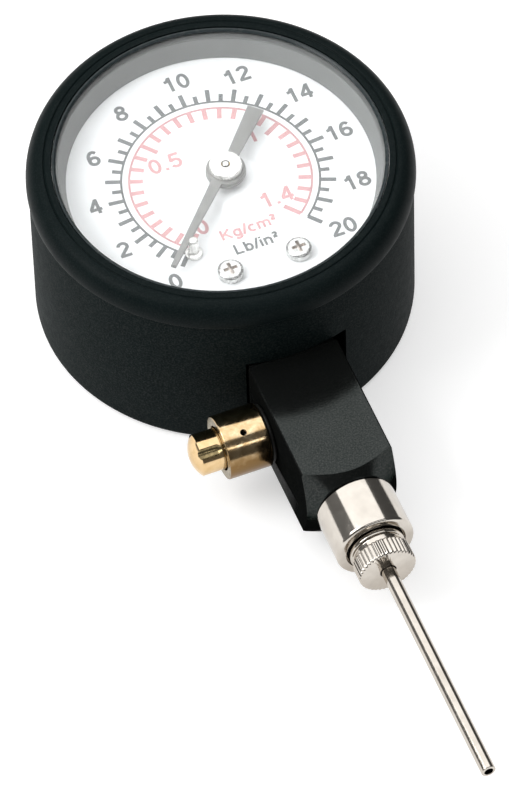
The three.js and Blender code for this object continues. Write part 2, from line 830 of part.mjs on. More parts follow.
// flattened section of the pressure tube, grown by `extra` for the pockets that hold it
function tubeSection(extra) {
  const half = tubeThickness / 2 + extra;
  const straight = (tubeWidth - tubeThickness) / 2;
  const section = new THREE.Shape();
  section.moveTo(straight, -half);
  section.absarc(straight, 0, half, -Math.PI / 2, Math.PI / 2, false);
  section.lineTo(-straight, half);
  section.absarc(-straight, 0, half, Math.PI / 2, 3 * Math.PI / 2, false);
  return new THREE.Shape(section.getPoints(3));
}

// bent pressure tube about the movement's axis, at the height of the needle's axis
function tubeArc(extra, from, to, steps) {
  const curve = new PlaneCurve((t) => {
    const place = polar(tubeRadius, from + (to - from) * t);
    return new THREE.Vector3(place.x, place.y, axisHeight);
  });
  return swept(curve, tubeSection(extra), steps);
}

// brazed end cap of the pressure tube, with an ear that carries the link
function makeTubeTip() {
  const inner = tubeRadius - tubeThickness / 2 - slip - tipWall;
  const outer = tubeRadius + tubeThickness / 2 + slip + tipWall;
  const from = tubeEnd - tipGrip;
  const block = new THREE.Shape([
    ...arcPoints(outer, from, from + tipSpan, 3),
    ...arcPoints(inner, from + tipSpan, from, 3),
  ]);
  const low = axisHeight - tubeWidth / 2 - slip - tipWall;
  const earTop = linkBottom - seat;
  const earLow = earTop - tipEarThickness;
  const root = polar(tubeRadius, from + tipSpan / 2);
  const ear = plate(strap(root, tipPin, tipEarWidth, tipEarWidth), earLow, earTop);
  const pin = peg(linkPin, earTop - seat, linkBottom + 2 * linkThickness, [tipPin.x, tipPin.y]);
  const pocket = tubeArc(slip, from - 4, tubeEnd + 0.5, 8);
  return cut(join(plate(block, low, earTop), ear, pin), pocket);
}

function makeLink() {
  const high = linkBottom + linkThickness;
  const holes = [tailPin, tipPin].map((pin) => (
    peg(linkHole, linkBottom - 1, high + 1, [pin.x, pin.y])
  ));
  return cut(plate(strap(tailPin, tipPin, linkWidth + 0.4, linkWidth + 0.4), linkBottom, high), ...holes);
}

function hairspringPoint(t) {
  const radius = hairspringInner + (hairspringOuter - hairspringInner) * t;
  const place = polar(radius, hairspringEnd - 360 * hairspringTurns * (1 - t));
  return new THREE.Vector3(place.x, place.y, hairspringLevel);
}

function makeHairspring() {
  const section = new THREE.Shape([
    new THREE.Vector2(-hairspringWidth / 2, -hairspringThickness / 2),
    new THREE.Vector2(hairspringWidth / 2, -hairspringThickness / 2),
    new THREE.Vector2(hairspringWidth / 2, hairspringThickness / 2),
    new THREE.Vector2(-hairspringWidth / 2, hairspringThickness / 2),
  ]);
  return swept(new PlaneCurve(hairspringPoint), section, hairspringTurns * 18);
}

function hairspringStudPlace() {
  const place = polar(hairspringOuter + hairspringThickness / 2 + hairspringStud + seat, hairspringEnd);
  return [place.x, place.y];
}

function makeHairspringStud() {
  const low = hairspringLevel - hairspringWidth / 2;
  return peg(hairspringStud, low, frontPlateTop, hairspringStudPlace());
}

piece(movement, 'movement_back_plate', makeBackPlate(), 'movementBrass');
piece(movement, 'movement_front_plate', makeFrontPlate(), 'movementBrass');
pillarPlaces.forEach((place, i) => {
  piece(movement, `pillar_${i + 1}`, makePillar(place), 'movementBrass');
  piece(movement, `pillar_screw_${i + 1}`, panScrew(pillarScrew, place, frontPlateTop), 'screwSteel');
});
['left', 'right'].forEach((side, i) => {
  const screw = panScrew(movementScrew, movementScrewPlaces[i], backPlateTop);
  piece(movement, `movement_screw_${side}`, screw, 'screwSteel');
});
piece(movement, 'pinion_arbor', makePinionArbor(), 'movementBrass');
piece(movement, 'hairspring', makeHairspring(), 'bronze');
piece(movement, 'hairspring_stud', makeHairspringStud(), 'movementBrass');
piece(movement, 'link', makeLink(), 'movementBrass');
piece(movement, 'tube_tip', makeTubeTip(), 'movementBrass');
const sectorGroup = new THREE.Group();
sectorGroup.position.set(sectorPivot.x, sectorPivot.y, 0);
movement.add(sectorGroup);
piece(sectorGroup, 'sector_gear', makeSector(), 'movementBrass');
piece(sectorGroup, 'sector_arbor', makeSectorArbor(), 'screwSteel');

// ---------------------------------------------------------------- stem block and pressure tube

function squareBar(half, from, to) {
  const flat = half - stemEdge;
  const section = new THREE.Shape([
    [flat, -half], [half, -flat], [half, flat], [flat, half],
    [-flat, half], [-half, flat], [-half, -flat], [-flat, -half],
  ].map(([x, z]) => new THREE.Vector2(x, z)));
  const bar = new THREE.ExtrudeGeometry(section, { depth: to - from, bevelEnabled: false });
  return solid(bar.rotateX(Math.PI / 2).translate(0, -from, 0));
}

function makeStemBlock() {
  const coneFoot = stemEnd - bossLength;
  const widest = stemHalf * 1.5;
  const envelope = turnedOut([
    [0, stemInnerEnd - 1],
    [widest, stemInnerEnd - 1],
    [widest, coneFoot - (widest - bossRadius) / coneSlope],
    [bossRadius, coneFoot],
    [bossRadius, stemEnd],
    [0, stemEnd],
  ], midSides);
  const outer = squareBar(stemHalf, stemShoulder, stemEnd + 1).intersect(envelope);
  const inner = squareBar(innerHalf, stemInnerEnd, stemShoulder + 1);
  const air = turnedOut(rod(airBore, tubeRadius, stemEnd + 1), smallSides);
  const sleeveHole = turnedOut(
    rod(sleeveThread + slip, stemEnd - sleeveThreadLength - 0.5, stemEnd + 1),
    midSides,
  );
  const valveHole = solid(
    turned(rod(valveStub + slip, -valveBoreDepth, 1), midSides)
      .rotateZ(Math.PI / 2)
      .translate(-stemHalf, -valveDistance, 0),
  );
  const tubePocket = tubeArc(slip, tubeStart - pocketLead, tubeStart + pocketSpan, 12)
    .translate(...pointerShift, -axisHeight);
  const threads = movementScrewPlaces.map(([x, y]) => [x + pointerShift[0], y + pointerShift[1]]);
  const threadDepth = movementScrew.length - plateThickness;
  const holesAbove = [
    ...postPlaces.map((place) => [place, postSpigot + slip, postSpigotLength]),
    ...threads.map((place) => [place, movementScrew.shank + slip, threadDepth]),
  ].map(([place, radius, depth]) => peg(radius, innerHalf - depth - 2 * seat, innerHalf + 1, place));
  const screwDepth = caseScrew.length - (stemBottom - caseScrew.headHeight - 2 * seat);
  const holesBelow = caseScrewPlaces.map((place) => (
    peg(caseScrew.shank + slip, -innerHalf - 1, -innerHalf + screwDepth + 0.3, place)
  ));
  return cut(join(outer, inner), air, sleeveHole, valveHole, tubePocket, ...holesAbove, ...holesBelow);
}

piece(stem, 'stem_block', makeStemBlock(), 'stemBlack');
piece(movement, 'bourdon_tube', tubeArc(0, tubeStart, tubeEnd, 44), 'bronze');

// ---------------------------------------------------------------- outlet sleeve and needle
// heights run outwards from the turned end of the stem

const sleeveLow = 3 * seat;
const sleeveHigh = sleeveLow + sleeveLength;
const recessFloor = sleeveHigh - sleeveRecess;
const sleeveBore = needleThread + slip;
const gasketLow = recessFloor - needleThreadLength - 3 * seat - gasketThickness;
const threadLow = gasketLow + gasketThickness + seat;
const shoulderLow = recessFloor + 2 * seat + 2 * ringSection;
const collarLow = sleeveHigh + collarGap;
const collarHigh = collarLow + collarLength;

function makeSleeve() {
  const recessRadius = sleeveRadius - sleeveRim;
  return solid(turned([
    [airBore, -sleeveThreadLength],
    [sleeveThread, -sleeveThreadLength],
    [sleeveThread, sleeveLow],
    [sleeveRadius - 0.2, sleeveLow],
    [sleeveRadius, sleeveLow + 0.2],
    ...quarter([sleeveRadius - sleeveRound, sleeveHigh - sleeveRound], sleeveRound, sleeveRound, 0, 90, 4),
    [recessRadius, sleeveHigh],
    [recessRadius, recessFloor],
    [sleeveBore, recessFloor],
    [sleeveBore, gasketLow - seat],
    [airBore, gasketLow - seat],
  ], midSides));
}

function makeGasket() {
  return solid(turned(tube(airBore, sleeveBore - slip, gasketLow, gasketLow + gasketThickness), midSides));
}

function makeNeedleRing() {
  const height = recessFloor + seat + ringSection;
  return solid(ring(neckRadius + seat + ringSection, ringSection, height, midSides));
}

function knurl(radius, low, high) {
  const points = [];
  for (let i = 0; i < knurlTeeth; i += 1) {
    const step = 360 / knurlTeeth;
    points.push(polar(radius, i * step - step * 0.2));
    points.push(polar(radius, i * step + step * 0.2));
    points.push(polar(radius - knurlDepth, i * step + step * 0.5));
  }
  const options = { depth: high - low, bevelEnabled: false };
  const grip = new THREE.ExtrudeGeometry(new THREE.Shape(points), options);
  return solid(grip.rotateX(-Math.PI / 2).translate(0, low, 0));
}

// knurled grip, smooth shoulder, neck inside the ring and threaded root are one turned piece
function makeCollar() {
  const blank = solid(turned([
    [0, collarLow],
    [collarRadius - collarChamfer, collarLow],
    [collarRadius, collarLow + collarChamfer],
    [collarRadius, collarHigh - collarChamfer],
    [collarRadius - collarChamfer, collarHigh],
    [0, collarHigh],
  ], midSides));
  const root = solid(turned([
    [0, threadLow],
    [needleThread - 0.2, threadLow],
    [needleThread, threadLow + 0.2],
    [needleThread, recessFloor - seat],
    [neckRadius, recessFloor - seat],
    [neckRadius, shoulderLow],
    [shoulderRadius - 0.15, shoulderLow],
    [shoulderRadius, shoulderLow + 0.15],
    [shoulderRadius, shoulderLow + shoulderLength],
    [waistRadius, shoulderLow + shoulderLength],
    [waistRadius, collarLow + 0.2],
    [0, collarLow + 0.2],
  ], midSides));
  const nose = solid(turned([
    [0, collarHigh - 0.2],
    [collarRadius * 0.45, collarHigh - 0.2],
    [collarRadius * 0.45, collarHigh],
    [needleRadius + slip + 0.25, collarHigh + collarCone],
    [0, collarHigh + collarCone],
  ], midSides));
  const socketRod = rod(needleRadius + slip, collarHigh - needleRoot, collarHigh + collarCone + 1);
  const socket = solid(turned(socketRod, smallSides));
  const air = solid(turned(rod(needleBore, threadLow - 1, collarHigh), smallSides));
  return cut(join(knurl(collarRadius, collarLow, collarHigh).intersect(blank), root, nose), socket, air);
}

function makeNeedleTube() {
  const low = collarHigh - needleRoot + seat;
  const tip = needleTipRound;
  return solid(turned([
    [needleBore, low],
    [needleRadius, low],
    ...quarter([needleRadius - tip, needleReach - tip], tip, tip, 0, 90, 3),
    [needleBore, needleReach - 0.05],
  ], smallSides));
}

piece(outlet, 'outlet_sleeve', makeSleeve(), 'nickel');
piece(outlet, 'outlet_gasket', makeGasket(), 'rubber');
piece(outlet, 'needle_o_ring', makeNeedleRing(), 'rubber');
piece(outlet, 'needle_collar', makeCollar(), 'nickel');
piece(outlet, 'needle_tube', makeNeedleTube(), 'nickel');

// ---------------------------------------------------------------- bleed valve
// heights run outwards from the stem's left face

const bodyLow = 2 * valveRingSection + 1.5 * seat;
const bodyHigh = bodyLow + valveLength;
const mouthRadius = buttonRadius + slip;
const chamberRadius = buttonRadius + buttonFlange + slip;
const chamberHigh = bodyHigh - valveMouthWall;
const flangeHigh = chamberHigh - seat;
const flangeLow = flangeHigh - buttonFlangeLength;
const buttonEdge = bodyHigh + buttonReach - buttonDome;

// peg that points outwards from the valve's axis, turned away from the dial side
function sidewaysTool(geometry, turn) {
  return solid(geometry.rotateY(-radians(turn)));
}

function makeValveBody() {
  const body = solid(turned([
    [plungerRadius + running, -valveStubLength],
    [valveStub, -valveStubLength],
    [valveStub, bodyLow],
    [valveRadius - valveChamfer, bodyLow],
    [valveRadius, bodyLow + valveChamfer],
    [valveRadius, bodyHigh - valveChamfer],
    [valveRadius - valveChamfer, bodyHigh],
    [mouthRadius, bodyHigh],
    [mouthRadius, chamberHigh],
    [chamberRadius, chamberHigh],
    [chamberRadius, valveWeb],
    [plungerRadius + running, valveWeb],
  ], midSides));
  const drill = new THREE.CylinderGeometry(bleedHole, bleedHole, valveRadius, smallSides)
    .rotateX(Math.PI / 2)
    .translate(0, bleedHoleHeight, valveRadius);
  return cut(body, sidewaysTool(drill, bleedHoleTurn));
}

function makeButton() {
  const button = solid(turned([
    [0, -valveStubLength - seat - sealThickness - 0.3],
    [plungerRadius, -valveStubLength - seat - sealThickness - 0.3],
    [plungerRadius, flangeLow],
    [buttonRadius + buttonFlange, flangeLow],
    [buttonRadius + buttonFlange, flangeHigh],
    [buttonRadius, flangeHigh],
    [buttonRadius, buttonEdge],
    ...quarter([0, buttonEdge], buttonRadius - 0.15, buttonDome, 0, 90, 5),
  ], midSides));
  const grooveEnd = bodyHigh + buttonGrooveInset + buttonGrooveWidth / 2;
  const groove = new THREE.BoxGeometry(buttonGrooveWidth, buttonReach, buttonGrooveDepth * 2)
    .translate(0, grooveEnd + buttonReach / 2, buttonRadius);
  const cutterSweep = buttonGrooveWidth / 2;
  const cutterEnd = new THREE.CylinderGeometry(cutterSweep, cutterSweep, buttonGrooveDepth * 2, smallSides)
    .rotateX(Math.PI / 2)
    .translate(0, grooveEnd, buttonRadius);
  return cut(button, ...[groove, cutterEnd].map((tool) => sidewaysTool(tool, buttonGrooveTurn)));
}

function makeValveSeal() {
  const high = -valveStubLength - seat;
  return solid(turned(tube(plungerRadius + 0.05, sealRadius, high - sealThickness, high), smallSides));
}

function makeValveSpring() {
  const low = valveWeb + springWire + seat;
  const high = flangeLow - springWire - seat;
  const helix = new PlaneCurve((t) => {
    const place = polar(springRadius, 360 * springTurns * t);
    return new THREE.Vector3(place.x, low + (high - low) * t, place.y);
  });
  const section = new THREE.Shape(
    Array.from({ length: 5 }, (_, i) => polar(springWire, 72 * i)),
  );
  return swept(helix, section, springTurns * 8);
}

function makeValveRing() {
  const section = valveRingSection;
  return solid(ring(valveStub + slip + seat + 2 * section, section, section + seat / 2, midSides));
}

piece(valve, 'valve_body', makeValveBody(), 'brass');
piece(valve, 'valve_o_ring', makeValveRing(), 'rubber');
piece(valve, 'valve_button', makeButton(), 'brass');
piece(valve, 'valve_spring', makeValveSpring(), 'springSteel');
piece(valve, 'valve_seal', makeValveSeal(), 'rubber');

export default gauge;
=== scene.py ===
# %% [markdown]
# # A ball pressure gauge, piece by piece
#
# This lesson dresses the bare CAD model of a small pressure gauge for sports balls: a
# round black case with a dial, a square stem, a brass bleed valve and a hollow needle.
# Almost every piece of the real gauge is round about an axis, so one short lathe helper
# makes most of them. What repeats, such as ticks, knurls and screws, comes from Geometry
# Nodes. All sizes below are in millimetres and are shrunk to metres as a mesh is made.

# %% Load the CAD frame
import math

import bmesh
import bpy
from mathutils import Matrix, Vector


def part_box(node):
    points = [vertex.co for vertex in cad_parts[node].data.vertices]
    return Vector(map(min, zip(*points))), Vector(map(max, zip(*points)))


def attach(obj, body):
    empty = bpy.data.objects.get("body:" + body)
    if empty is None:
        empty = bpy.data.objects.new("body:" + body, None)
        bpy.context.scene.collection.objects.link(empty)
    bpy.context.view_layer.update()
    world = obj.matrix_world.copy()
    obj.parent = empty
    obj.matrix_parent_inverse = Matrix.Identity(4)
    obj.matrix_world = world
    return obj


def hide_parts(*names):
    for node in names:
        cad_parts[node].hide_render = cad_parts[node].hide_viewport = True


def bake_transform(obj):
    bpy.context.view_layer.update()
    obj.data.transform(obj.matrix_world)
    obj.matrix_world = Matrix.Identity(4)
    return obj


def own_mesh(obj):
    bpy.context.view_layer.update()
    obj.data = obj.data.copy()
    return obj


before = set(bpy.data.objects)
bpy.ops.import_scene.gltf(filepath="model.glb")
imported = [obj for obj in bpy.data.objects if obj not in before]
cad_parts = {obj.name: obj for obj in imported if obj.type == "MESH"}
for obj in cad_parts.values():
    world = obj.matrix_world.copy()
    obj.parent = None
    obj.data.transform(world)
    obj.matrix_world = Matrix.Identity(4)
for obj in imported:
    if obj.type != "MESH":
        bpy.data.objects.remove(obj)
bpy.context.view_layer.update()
MM = 0.001

# %% [markdown]
# ## Where things turn
#
# Three axes carry the whole gauge. The dial faces up along Z. The stem, its sleeve and
# the needle share one axis that runs out along -Y. The bleed valve leaves the stem's left
# side along -X. Each axis gets one matrix, so that every turned piece can be drawn as a
# plain outline of radius and height and then set down on its axis.

# %% Axes of the gauge
AXIS_HEIGHT = 9.86
VALVE_DISTANCE = 31.8
SHRINK = Matrix.Scale(MM, 4)
ON_DIAL = SHRINK
ON_STEM = (
    Matrix.Translation((0, 0, AXIS_HEIGHT * MM))
    @ Matrix.Rotation(math.radians(90), 4, "X")
    @ SHRINK
)
ON_VALVE = (
    Matrix.Translation((0, -VALVE_DISTANCE * MM, AXIS_HEIGHT * MM))
    @ Matrix.Rotation(math.radians(-90), 4, "Y")
    @ SHRINK
)
print("outlet points along", ON_STEM.to_3x3().normalized() @ Vector((0, 0, 1)))
print("valve points along", ON_VALVE.to_3x3().normalized() @ Vector((0, 0, 1)))

# %% [markdown]
# ## Camera
#
# The photograph looks down on the gauge from the front left, from far away, so lines that
# are parallel on the gauge stay almost parallel in the picture. A long lens does the same.
# The camera's place was worked out from the ellipses of the bezel and the needle's line.

# %% Camera at the photograph's angle
ELEVATION = 0.932
AZIMUTH = -0.351
ROLL = -0.033
VIEW_SHIFT = (-4.452, 29.441)
VIEW_DISTANCE = 1069.05
AIM_LEVEL = 23.564
LENS_PIXELS = 8026.8
IMAGE_LONG_SIDE = 800
SENSOR_WIDTH = 36


def photo_camera():
    """Camera that frames the gauge as the photograph does."""
    back = Vector((
        math.sin(AZIMUTH) * math.cos(ELEVATION),
        -math.cos(AZIMUTH) * math.cos(ELEVATION),
        math.sin(ELEVATION),
    ))
    side = (-back).cross(Vector((0, 0, 1))).normalized()
    top = side.cross(-back)
    right = math.cos(ROLL) * side + math.sin(ROLL) * top
    up = math.cos(ROLL) * top - math.sin(ROLL) * side
    place = back * VIEW_DISTANCE - VIEW_SHIFT[0] * right - VIEW_SHIFT[1] * up
    place.z += AIM_LEVEL
    lens = bpy.data.cameras.new("photo_camera")
    lens.sensor_width = SENSOR_WIDTH
    lens.lens = LENS_PIXELS * SENSOR_WIDTH / IMAGE_LONG_SIDE
    lens.clip_start, lens.clip_end = 0.01, 20
    camera = bpy.data.objects.new("photo_camera", lens)
    turn = Matrix((right, up, back)).transposed().to_4x4()
    camera.matrix_world = Matrix.Translation(place * MM) @ turn
    bpy.context.collection.objects.link(camera)
    return camera


scene = bpy.context.scene
scene.camera = photo_camera()
print("camera lens", round(scene.camera.data.lens, 1), "mm")

# %% [markdown]
# ## Finishes
#
# No real surface is one flat colour. Moulded plastic has a fine grain, turned metal has
# faint rings across its axis, and plating is a little cloudy. One helper builds all of
# them from noise in Object coordinates: a slow noise shifts colour and gloss, a fine one
# lifts the surface, and a noise of one dimension, read along the lathe's axis, draws the
# tool's rings. Two more layers can lie on top: a painted shade that takes over lower
# down, and fine pale specks that are painted glints. Values that don't vary stay on the
# shader's own sockets.

# %% Helper that builds a finish
def add(tree, kind, inputs=None, **settings):
    """Node whose inputs, by name or number, are linked to sockets or set to values."""
    node = tree.nodes.new(kind)
    for key, value in settings.items():
        setattr(node, key, value)
    for key, value in (inputs or {}).items():
        if isinstance(value, bpy.types.NodeSocket):
            tree.links.new(value, node.inputs[key])
        else:
            node.inputs[key].default_value = value
    return node


def math_node(tree, operation, *values):
    return add(tree, "ShaderNodeMath", dict(enumerate(values)), operation=operation).outputs[0]


def noise(tree, place, size, detail=2.0):
    """Noise whose blobs are about `size` millimetres wide."""
    inputs = {"Vector": place, "Scale": 1 / (size * MM), "Detail": detail}
    return add(tree, "ShaderNodeTexNoise", inputs).outputs["Fac"]


def spread(tree, value, low, high):
    """Maps the middle of a noise, where nearly all of it lies, to low .. high."""
    inputs = {"Value": value, "From Min": 0.3, "From Max": 0.7, "To Min": low, "To Max": high}
    return add(tree, "ShaderNodeMapRange", inputs).outputs["Result"]


def share_between(tree, value, start, end):
    """Share that goes from 0 to 1 as the value goes from start to end."""
    inputs = {"Value": value, "From Min": start, "From Max": end}
    return add(tree, "ShaderNodeMapRange", inputs).outputs["Result"]


def mixed(tree, share, base, top):
    """Colour that goes from base to top as the share goes from 0 to 1."""
    inputs = {"Factor": share, "A": base, "B": top}
    return add(tree, "ShaderNodeMix", inputs, data_type="RGBA").outputs["Result"]


def raised(tree, height, depth, under=None):
    """Normal of a surface that `height` lifts by up to `depth` millimetres."""
    inputs = {"Height": height, "Distance": depth * MM, "Strength": 1.0}
    if under:
        inputs["Normal"] = under
    return add(tree, "ShaderNodeBump", inputs).outputs["Normal"]


print("helpers ready: add, math_node, noise, spread, share_between, mixed, raised")

# %% A finish from layers of noise
SHADE_EDGE_WANDER = 2.5
SPECKS_START, SPECKS_FULL = 0.42, 0.78
GLOSS_PATCH = 0.4


def finish(
    name, dark, light, gloss, metallic=0.0, patch=3.0,
    grain=None, rings=None, below=None, specks=None, **fixed,
):
    """Procedural finish: colours dark .. light, roughness range, grain and rings as (size, depth).

    `below` is a painted shade, a colour that takes over between two heights, as (colour, low, high).
    `specks` are fine pale points, painted glints, as (colour, size).
    """
    material = bpy.data.materials.new(name)
    material.use_nodes = True
    tree = material.node_tree
    shader = tree.nodes["Principled BSDF"]
    shader.inputs["Metallic"].default_value = metallic
    for socket, value in fixed.items():
        shader.inputs[socket.replace("_", " ")].default_value = value
    place = add(tree, "ShaderNodeTexCoord").outputs["Object"]
    cloud = noise(tree, place, patch, 4.0)
    colour = mixed(tree, spread(tree, cloud, 0.0, 1.0), (*dark, 1), (*light, 1))
    # The colour in `below` is painted shade: it takes over towards the bottom, with a ragged edge.
    if below:
        stain, low, high = below
        height = add(tree, "ShaderNodeSeparateXYZ", {"Vector": place}).outputs["Z"]
        ragged = math_node(tree, "MULTIPLY_ADD", cloud, SHADE_EDGE_WANDER * MM, height)
        lift = SHADE_EDGE_WANDER / 2
        share = share_between(tree, ragged, (high + lift) * MM, (low + lift) * MM)
        colour = mixed(tree, share, colour, (*stain, 1))
    if specks:
        # Pale specks are painted glints on the tops of the grain.
        pale, size = specks
        points = share_between(tree, noise(tree, place, size), SPECKS_START, SPECKS_FULL)
        colour = mixed(tree, points, colour, (*pale, 1))
    roughness = spread(tree, noise(tree, place, patch * GLOSS_PATCH), *gloss)
    tree.links.new(colour, shader.inputs["Base Color"])
    tree.links.new(roughness, shader.inputs["Roughness"])
    normal = None
    if grain:
        size, depth = grain
        normal = raised(tree, noise(tree, place, size), depth)
    if rings:
        axis, size, depth = rings
        along = add(tree, "ShaderNodeSeparateXYZ", {"Vector": place}).outputs[axis]
        inputs = {"W": along, "Scale": 1 / (size * MM)}
        lines = add(tree, "ShaderNodeTexNoise", inputs, noise_dimensions="1D")
        normal = raised(tree, lines.outputs["Fac"], depth, normal)
    if normal:
        tree.links.new(normal, shader.inputs["Normal"])
    return material


# %% [markdown]
# ## Black parts
#
# The case and the bezel are black moulded plastic. The case side has a fine spark-eroded
# grain, and pale specks painted on it stand for glints on the grain's tops; the bezel is
# smoother, and the stem is metal under a satin black plating, which mirrors the lamps in
# wide soft patches. The bezel and the stem carry the same painted glints. A plating's
# mirror is kept dark at a glancing angle by the tint of its edge.

# %% Black finishes
# The case, bezel and stem carry pale specks, painted glints on their grain.
case_black = finish(
    "case_black", (0.0032, 0.0070, 0.0074), (0.0044, 0.0090, 0.0094), (0.55, 0.62),
    grain=(0.28, 0.028), specks=((0.022, 0.027, 0.026), 0.24), Specular_IOR_Level=0.028,
)
bezel_black = finish(
    "bezel_black", (0.0034, 0.0068, 0.0071), (0.0044, 0.0083, 0.0086), (0.40, 0.47),
    grain=(0.2, 0.004), specks=((0.011, 0.0155, 0.0155), 0.2), Specular_IOR_Level=0.042,
)
stem_black = finish(
    "stem_black", (0.022, 0.026, 0.025), (0.028, 0.032, 0.031), (0.13, 0.17), 0.85,
    grain=(0.25, 0.003), specks=((0.064, 0.066, 0.063), 0.2),
    Specular_Tint=(0.13, 0.13, 0.13, 1), Specular_IOR_Level=0.0,
)
rubber = finish(
    "rubber", (0.006, 0.006, 0.006), (0.011, 0.011, 0.010), (0.45, 0.6), patch=0.8,
    Specular_IOR_Level=0.25,
)
print("black finishes: case, bezel, stem, rubber")

# %% [markdown]
# ## Metals
#
# A metal's colour is the colour of its mirror. The valve's brass is bright on top and
# goes browner lower down, a painted shade for the dimmer reflection from below, and its
# button is rubbed bright all over. Nickel is a warm grey with the same painted shade lower
# down, and the stamped brass inside is duller. The rings run across X on the valve and
# across Y on the outlet and needle.

# %% Brass and nickel finishes
# The brass goes browner lower down: a painted shade for the dimmer reflection from below.
brass = finish(
    "brass", (0.62, 0.43, 0.22), (0.80, 0.63, 0.40), (0.10, 0.20), 1.0, patch=1.0,
    rings=("X", 0.12, 0.002), below=((0.21, 0.125, 0.05), 10.8, 14.4),
)
rubbed_brass = finish(
    "rubbed_brass", (0.64, 0.44, 0.215), (0.76, 0.56, 0.32), (0.08, 0.15), 1.0, patch=1.2,
    rings=("X", 0.12, 0.002),
)
# A darker brass for the button's groove and the flat ring round the body's mouth.
darker_brass = finish(
    "darker_brass", (0.13, 0.10, 0.05), (0.32, 0.25, 0.13), (0.2, 0.35), 1.0, patch=0.6,
)
# The nickel goes darker lower down: a painted shade for the dimmer reflection from below.
nickel = finish(
    "nickel", (0.54, 0.50, 0.45), (0.62, 0.58, 0.525), (0.09, 0.15), 1.0, patch=2.0,
    rings=("Y", 0.15, 0.0015), below=((0.38, 0.335, 0.285), 5.5, 12.5),
)
print("outer metals: brass, rubbed brass, tarnished brass, nickel")

# %% Finishes of the screws, the movement and the pointer
screw_steel = finish(
    "screw_steel", (0.55, 0.55, 0.54), (0.75, 0.75, 0.74), (0.18, 0.32), 1.0, patch=0.8,
)
# Painted shade for the walls of the cross recesses, brown-grey with paler spots.
painted_recess_shade = finish(
    "painted_recess_shade", (0.38, 0.33, 0.29), (0.82, 0.77, 0.73), (0.2, 0.4), 0.9, patch=0.35,
)
movement_brass = finish(
    "movement_brass", (0.40, 0.26, 0.07), (0.55, 0.38, 0.12), (0.28, 0.45), 1.0,
    grain=(0.4, 0.004),
)
bronze = finish("bronze", (0.36, 0.19, 0.07), (0.50, 0.28, 0.11), (0.25, 0.4), 1.0, patch=2.0)
pointer_grey = finish(
    "pointer_grey", (0.215, 0.215, 0.208), (0.255, 0.255, 0.248), (0.42, 0.5), patch=1.0,
    grain=(0.15, 0.003),
)
hub_grey = finish("hub_grey", (0.80, 0.79, 0.76), (0.90, 0.89, 0.87), (0.25, 0.34), 0.9, patch=0.8)
print("inner finishes: steel, recess brown, movement brass, bronze, pointer and hub grey")

# %% [markdown]
# ## Dial, print and window
#
# The dial is thin metal painted white and printed in two colours. The window is clear
# moulded acrylic. A ray tracer lets light through such a window only by chance, so a
# shadow ray passes it as if it were not there, which keeps the dial as bright as it is.

# %% Dial and window finishes
dial_white = finish(
    "dial_white", (0.84, 0.85, 0.86), (0.88, 0.89, 0.90), (0.50, 0.60), grain=(0.5, 0.001),
)
ink_black = finish("ink_black", (0.095, 0.103, 0.105), (0.130, 0.138, 0.141), (0.5, 0.6), patch=1.0)
ink_red = finish("ink_red", (0.49, 0.245, 0.255), (0.54, 0.295, 0.305), (0.5, 0.6), patch=1.0)
ring_grey = finish(
    "ring_grey", (0.124, 0.131, 0.128), (0.137, 0.144, 0.141), (0.5, 0.6), grain=(0.3, 0.002),
)
bead_grey = finish(
    "bead_grey", (0.024, 0.032, 0.034), (0.032, 0.040, 0.042), (0.22, 0.30), patch=2.0,
    Specular_IOR_Level=0.2,
)
ACRYLIC = {
    "Roughness": 0.0, "IOR": 1.49, "Transmission Weight": 1.0, "Base Color": (0.985, 0.995, 0.995, 1),
}
WAVE_LENGTH, WAVE_DEPTH = 12.0, 0.0006


def window_finish():
    material = bpy.data.materials.new("window_clear")
    material.use_nodes = True
    tree = material.node_tree
    glass = tree.nodes["Principled BSDF"]
    for socket, value in ACRYLIC.items():
        glass.inputs[socket].default_value = value
    place = add(tree, "ShaderNodeTexCoord").outputs["Object"]
    waves = raised(tree, noise(tree, place, WAVE_LENGTH, 1.0), WAVE_DEPTH)
    tree.links.new(waves, glass.inputs["Normal"])
    clear = add(tree, "ShaderNodeBsdfTransparent").outputs[0]
    shadow = add(tree, "ShaderNodeLightPath").outputs["Is Shadow Ray"]
    either = add(tree, "ShaderNodeMixShader", {0: shadow, 1: glass.outputs[0], 2: clear})
    tree.links.new(either.outputs[0], tree.nodes["Material Output"].inputs["Surface"])
    return material


window_clear = window_finish()
print("dial finishes: white, black ink, red ink, spacer grey, clear window")

# %% [markdown]
# ## The lathe
#
# A turned piece is an outline spun round its axis. The outline is written as corners of
# radius and height, with the radius of the rounding as a third number, because even a
# sharp edge on a real piece has a tiny round that catches the light. Writing rings of
# vertices by hand, rather than with Spin, keeps the seam and the poles closed.

# %% Outline and lathe helpers
FINE_SIDES = 192
ON_AXIS = 1e-6


def rounded(corners, steps):
    """Outline with a curve of `steps` pieces at each corner that has a rounding."""
    outline = []
    for i, corner in enumerate(corners):
        here = Vector(corner[:2])
        if len(corner) < 3:
            outline.append(here)
            continue
        before = Vector(corners[i - 1][:2]) - here
        after = Vector(corners[(i + 1) % len(corners)][:2]) - here
        reach = corner[2] / math.tan(before.angle(after) / 2)
        reach = min(reach, 0.49 * before.length, 0.49 * after.length)
        start = here + before.normalized() * reach
        end = here + after.normalized() * reach
        for step in range(steps + 1):
            t = step / steps
            outline.append(start * (1 - t) ** 2 + here * 2 * t * (1 - t) + end * t ** 2)
    return outline


def ring_of_vertices(bm, radius, height, sides):
    """One ring of the lathe; on the axis every side shares one vertex."""
    if radius < ON_AXIS:
        return [bm.verts.new((0, 0, height))] * sides
    turn = 2 * math.pi / sides
    return [
        bm.verts.new((radius * math.cos(k * turn), radius * math.sin(k * turn), height))
        for k in range(sides)
    ]


def to_mesh(bm, name, place):
    """Mesh with its faces pointing outwards, set down at its place."""
    bmesh.ops.recalc_face_normals(bm, faces=bm.faces)
    bm.transform(place)
    mesh = bpy.data.meshes.new(name)
    bm.to_mesh(mesh)
    bm.free()
    return mesh


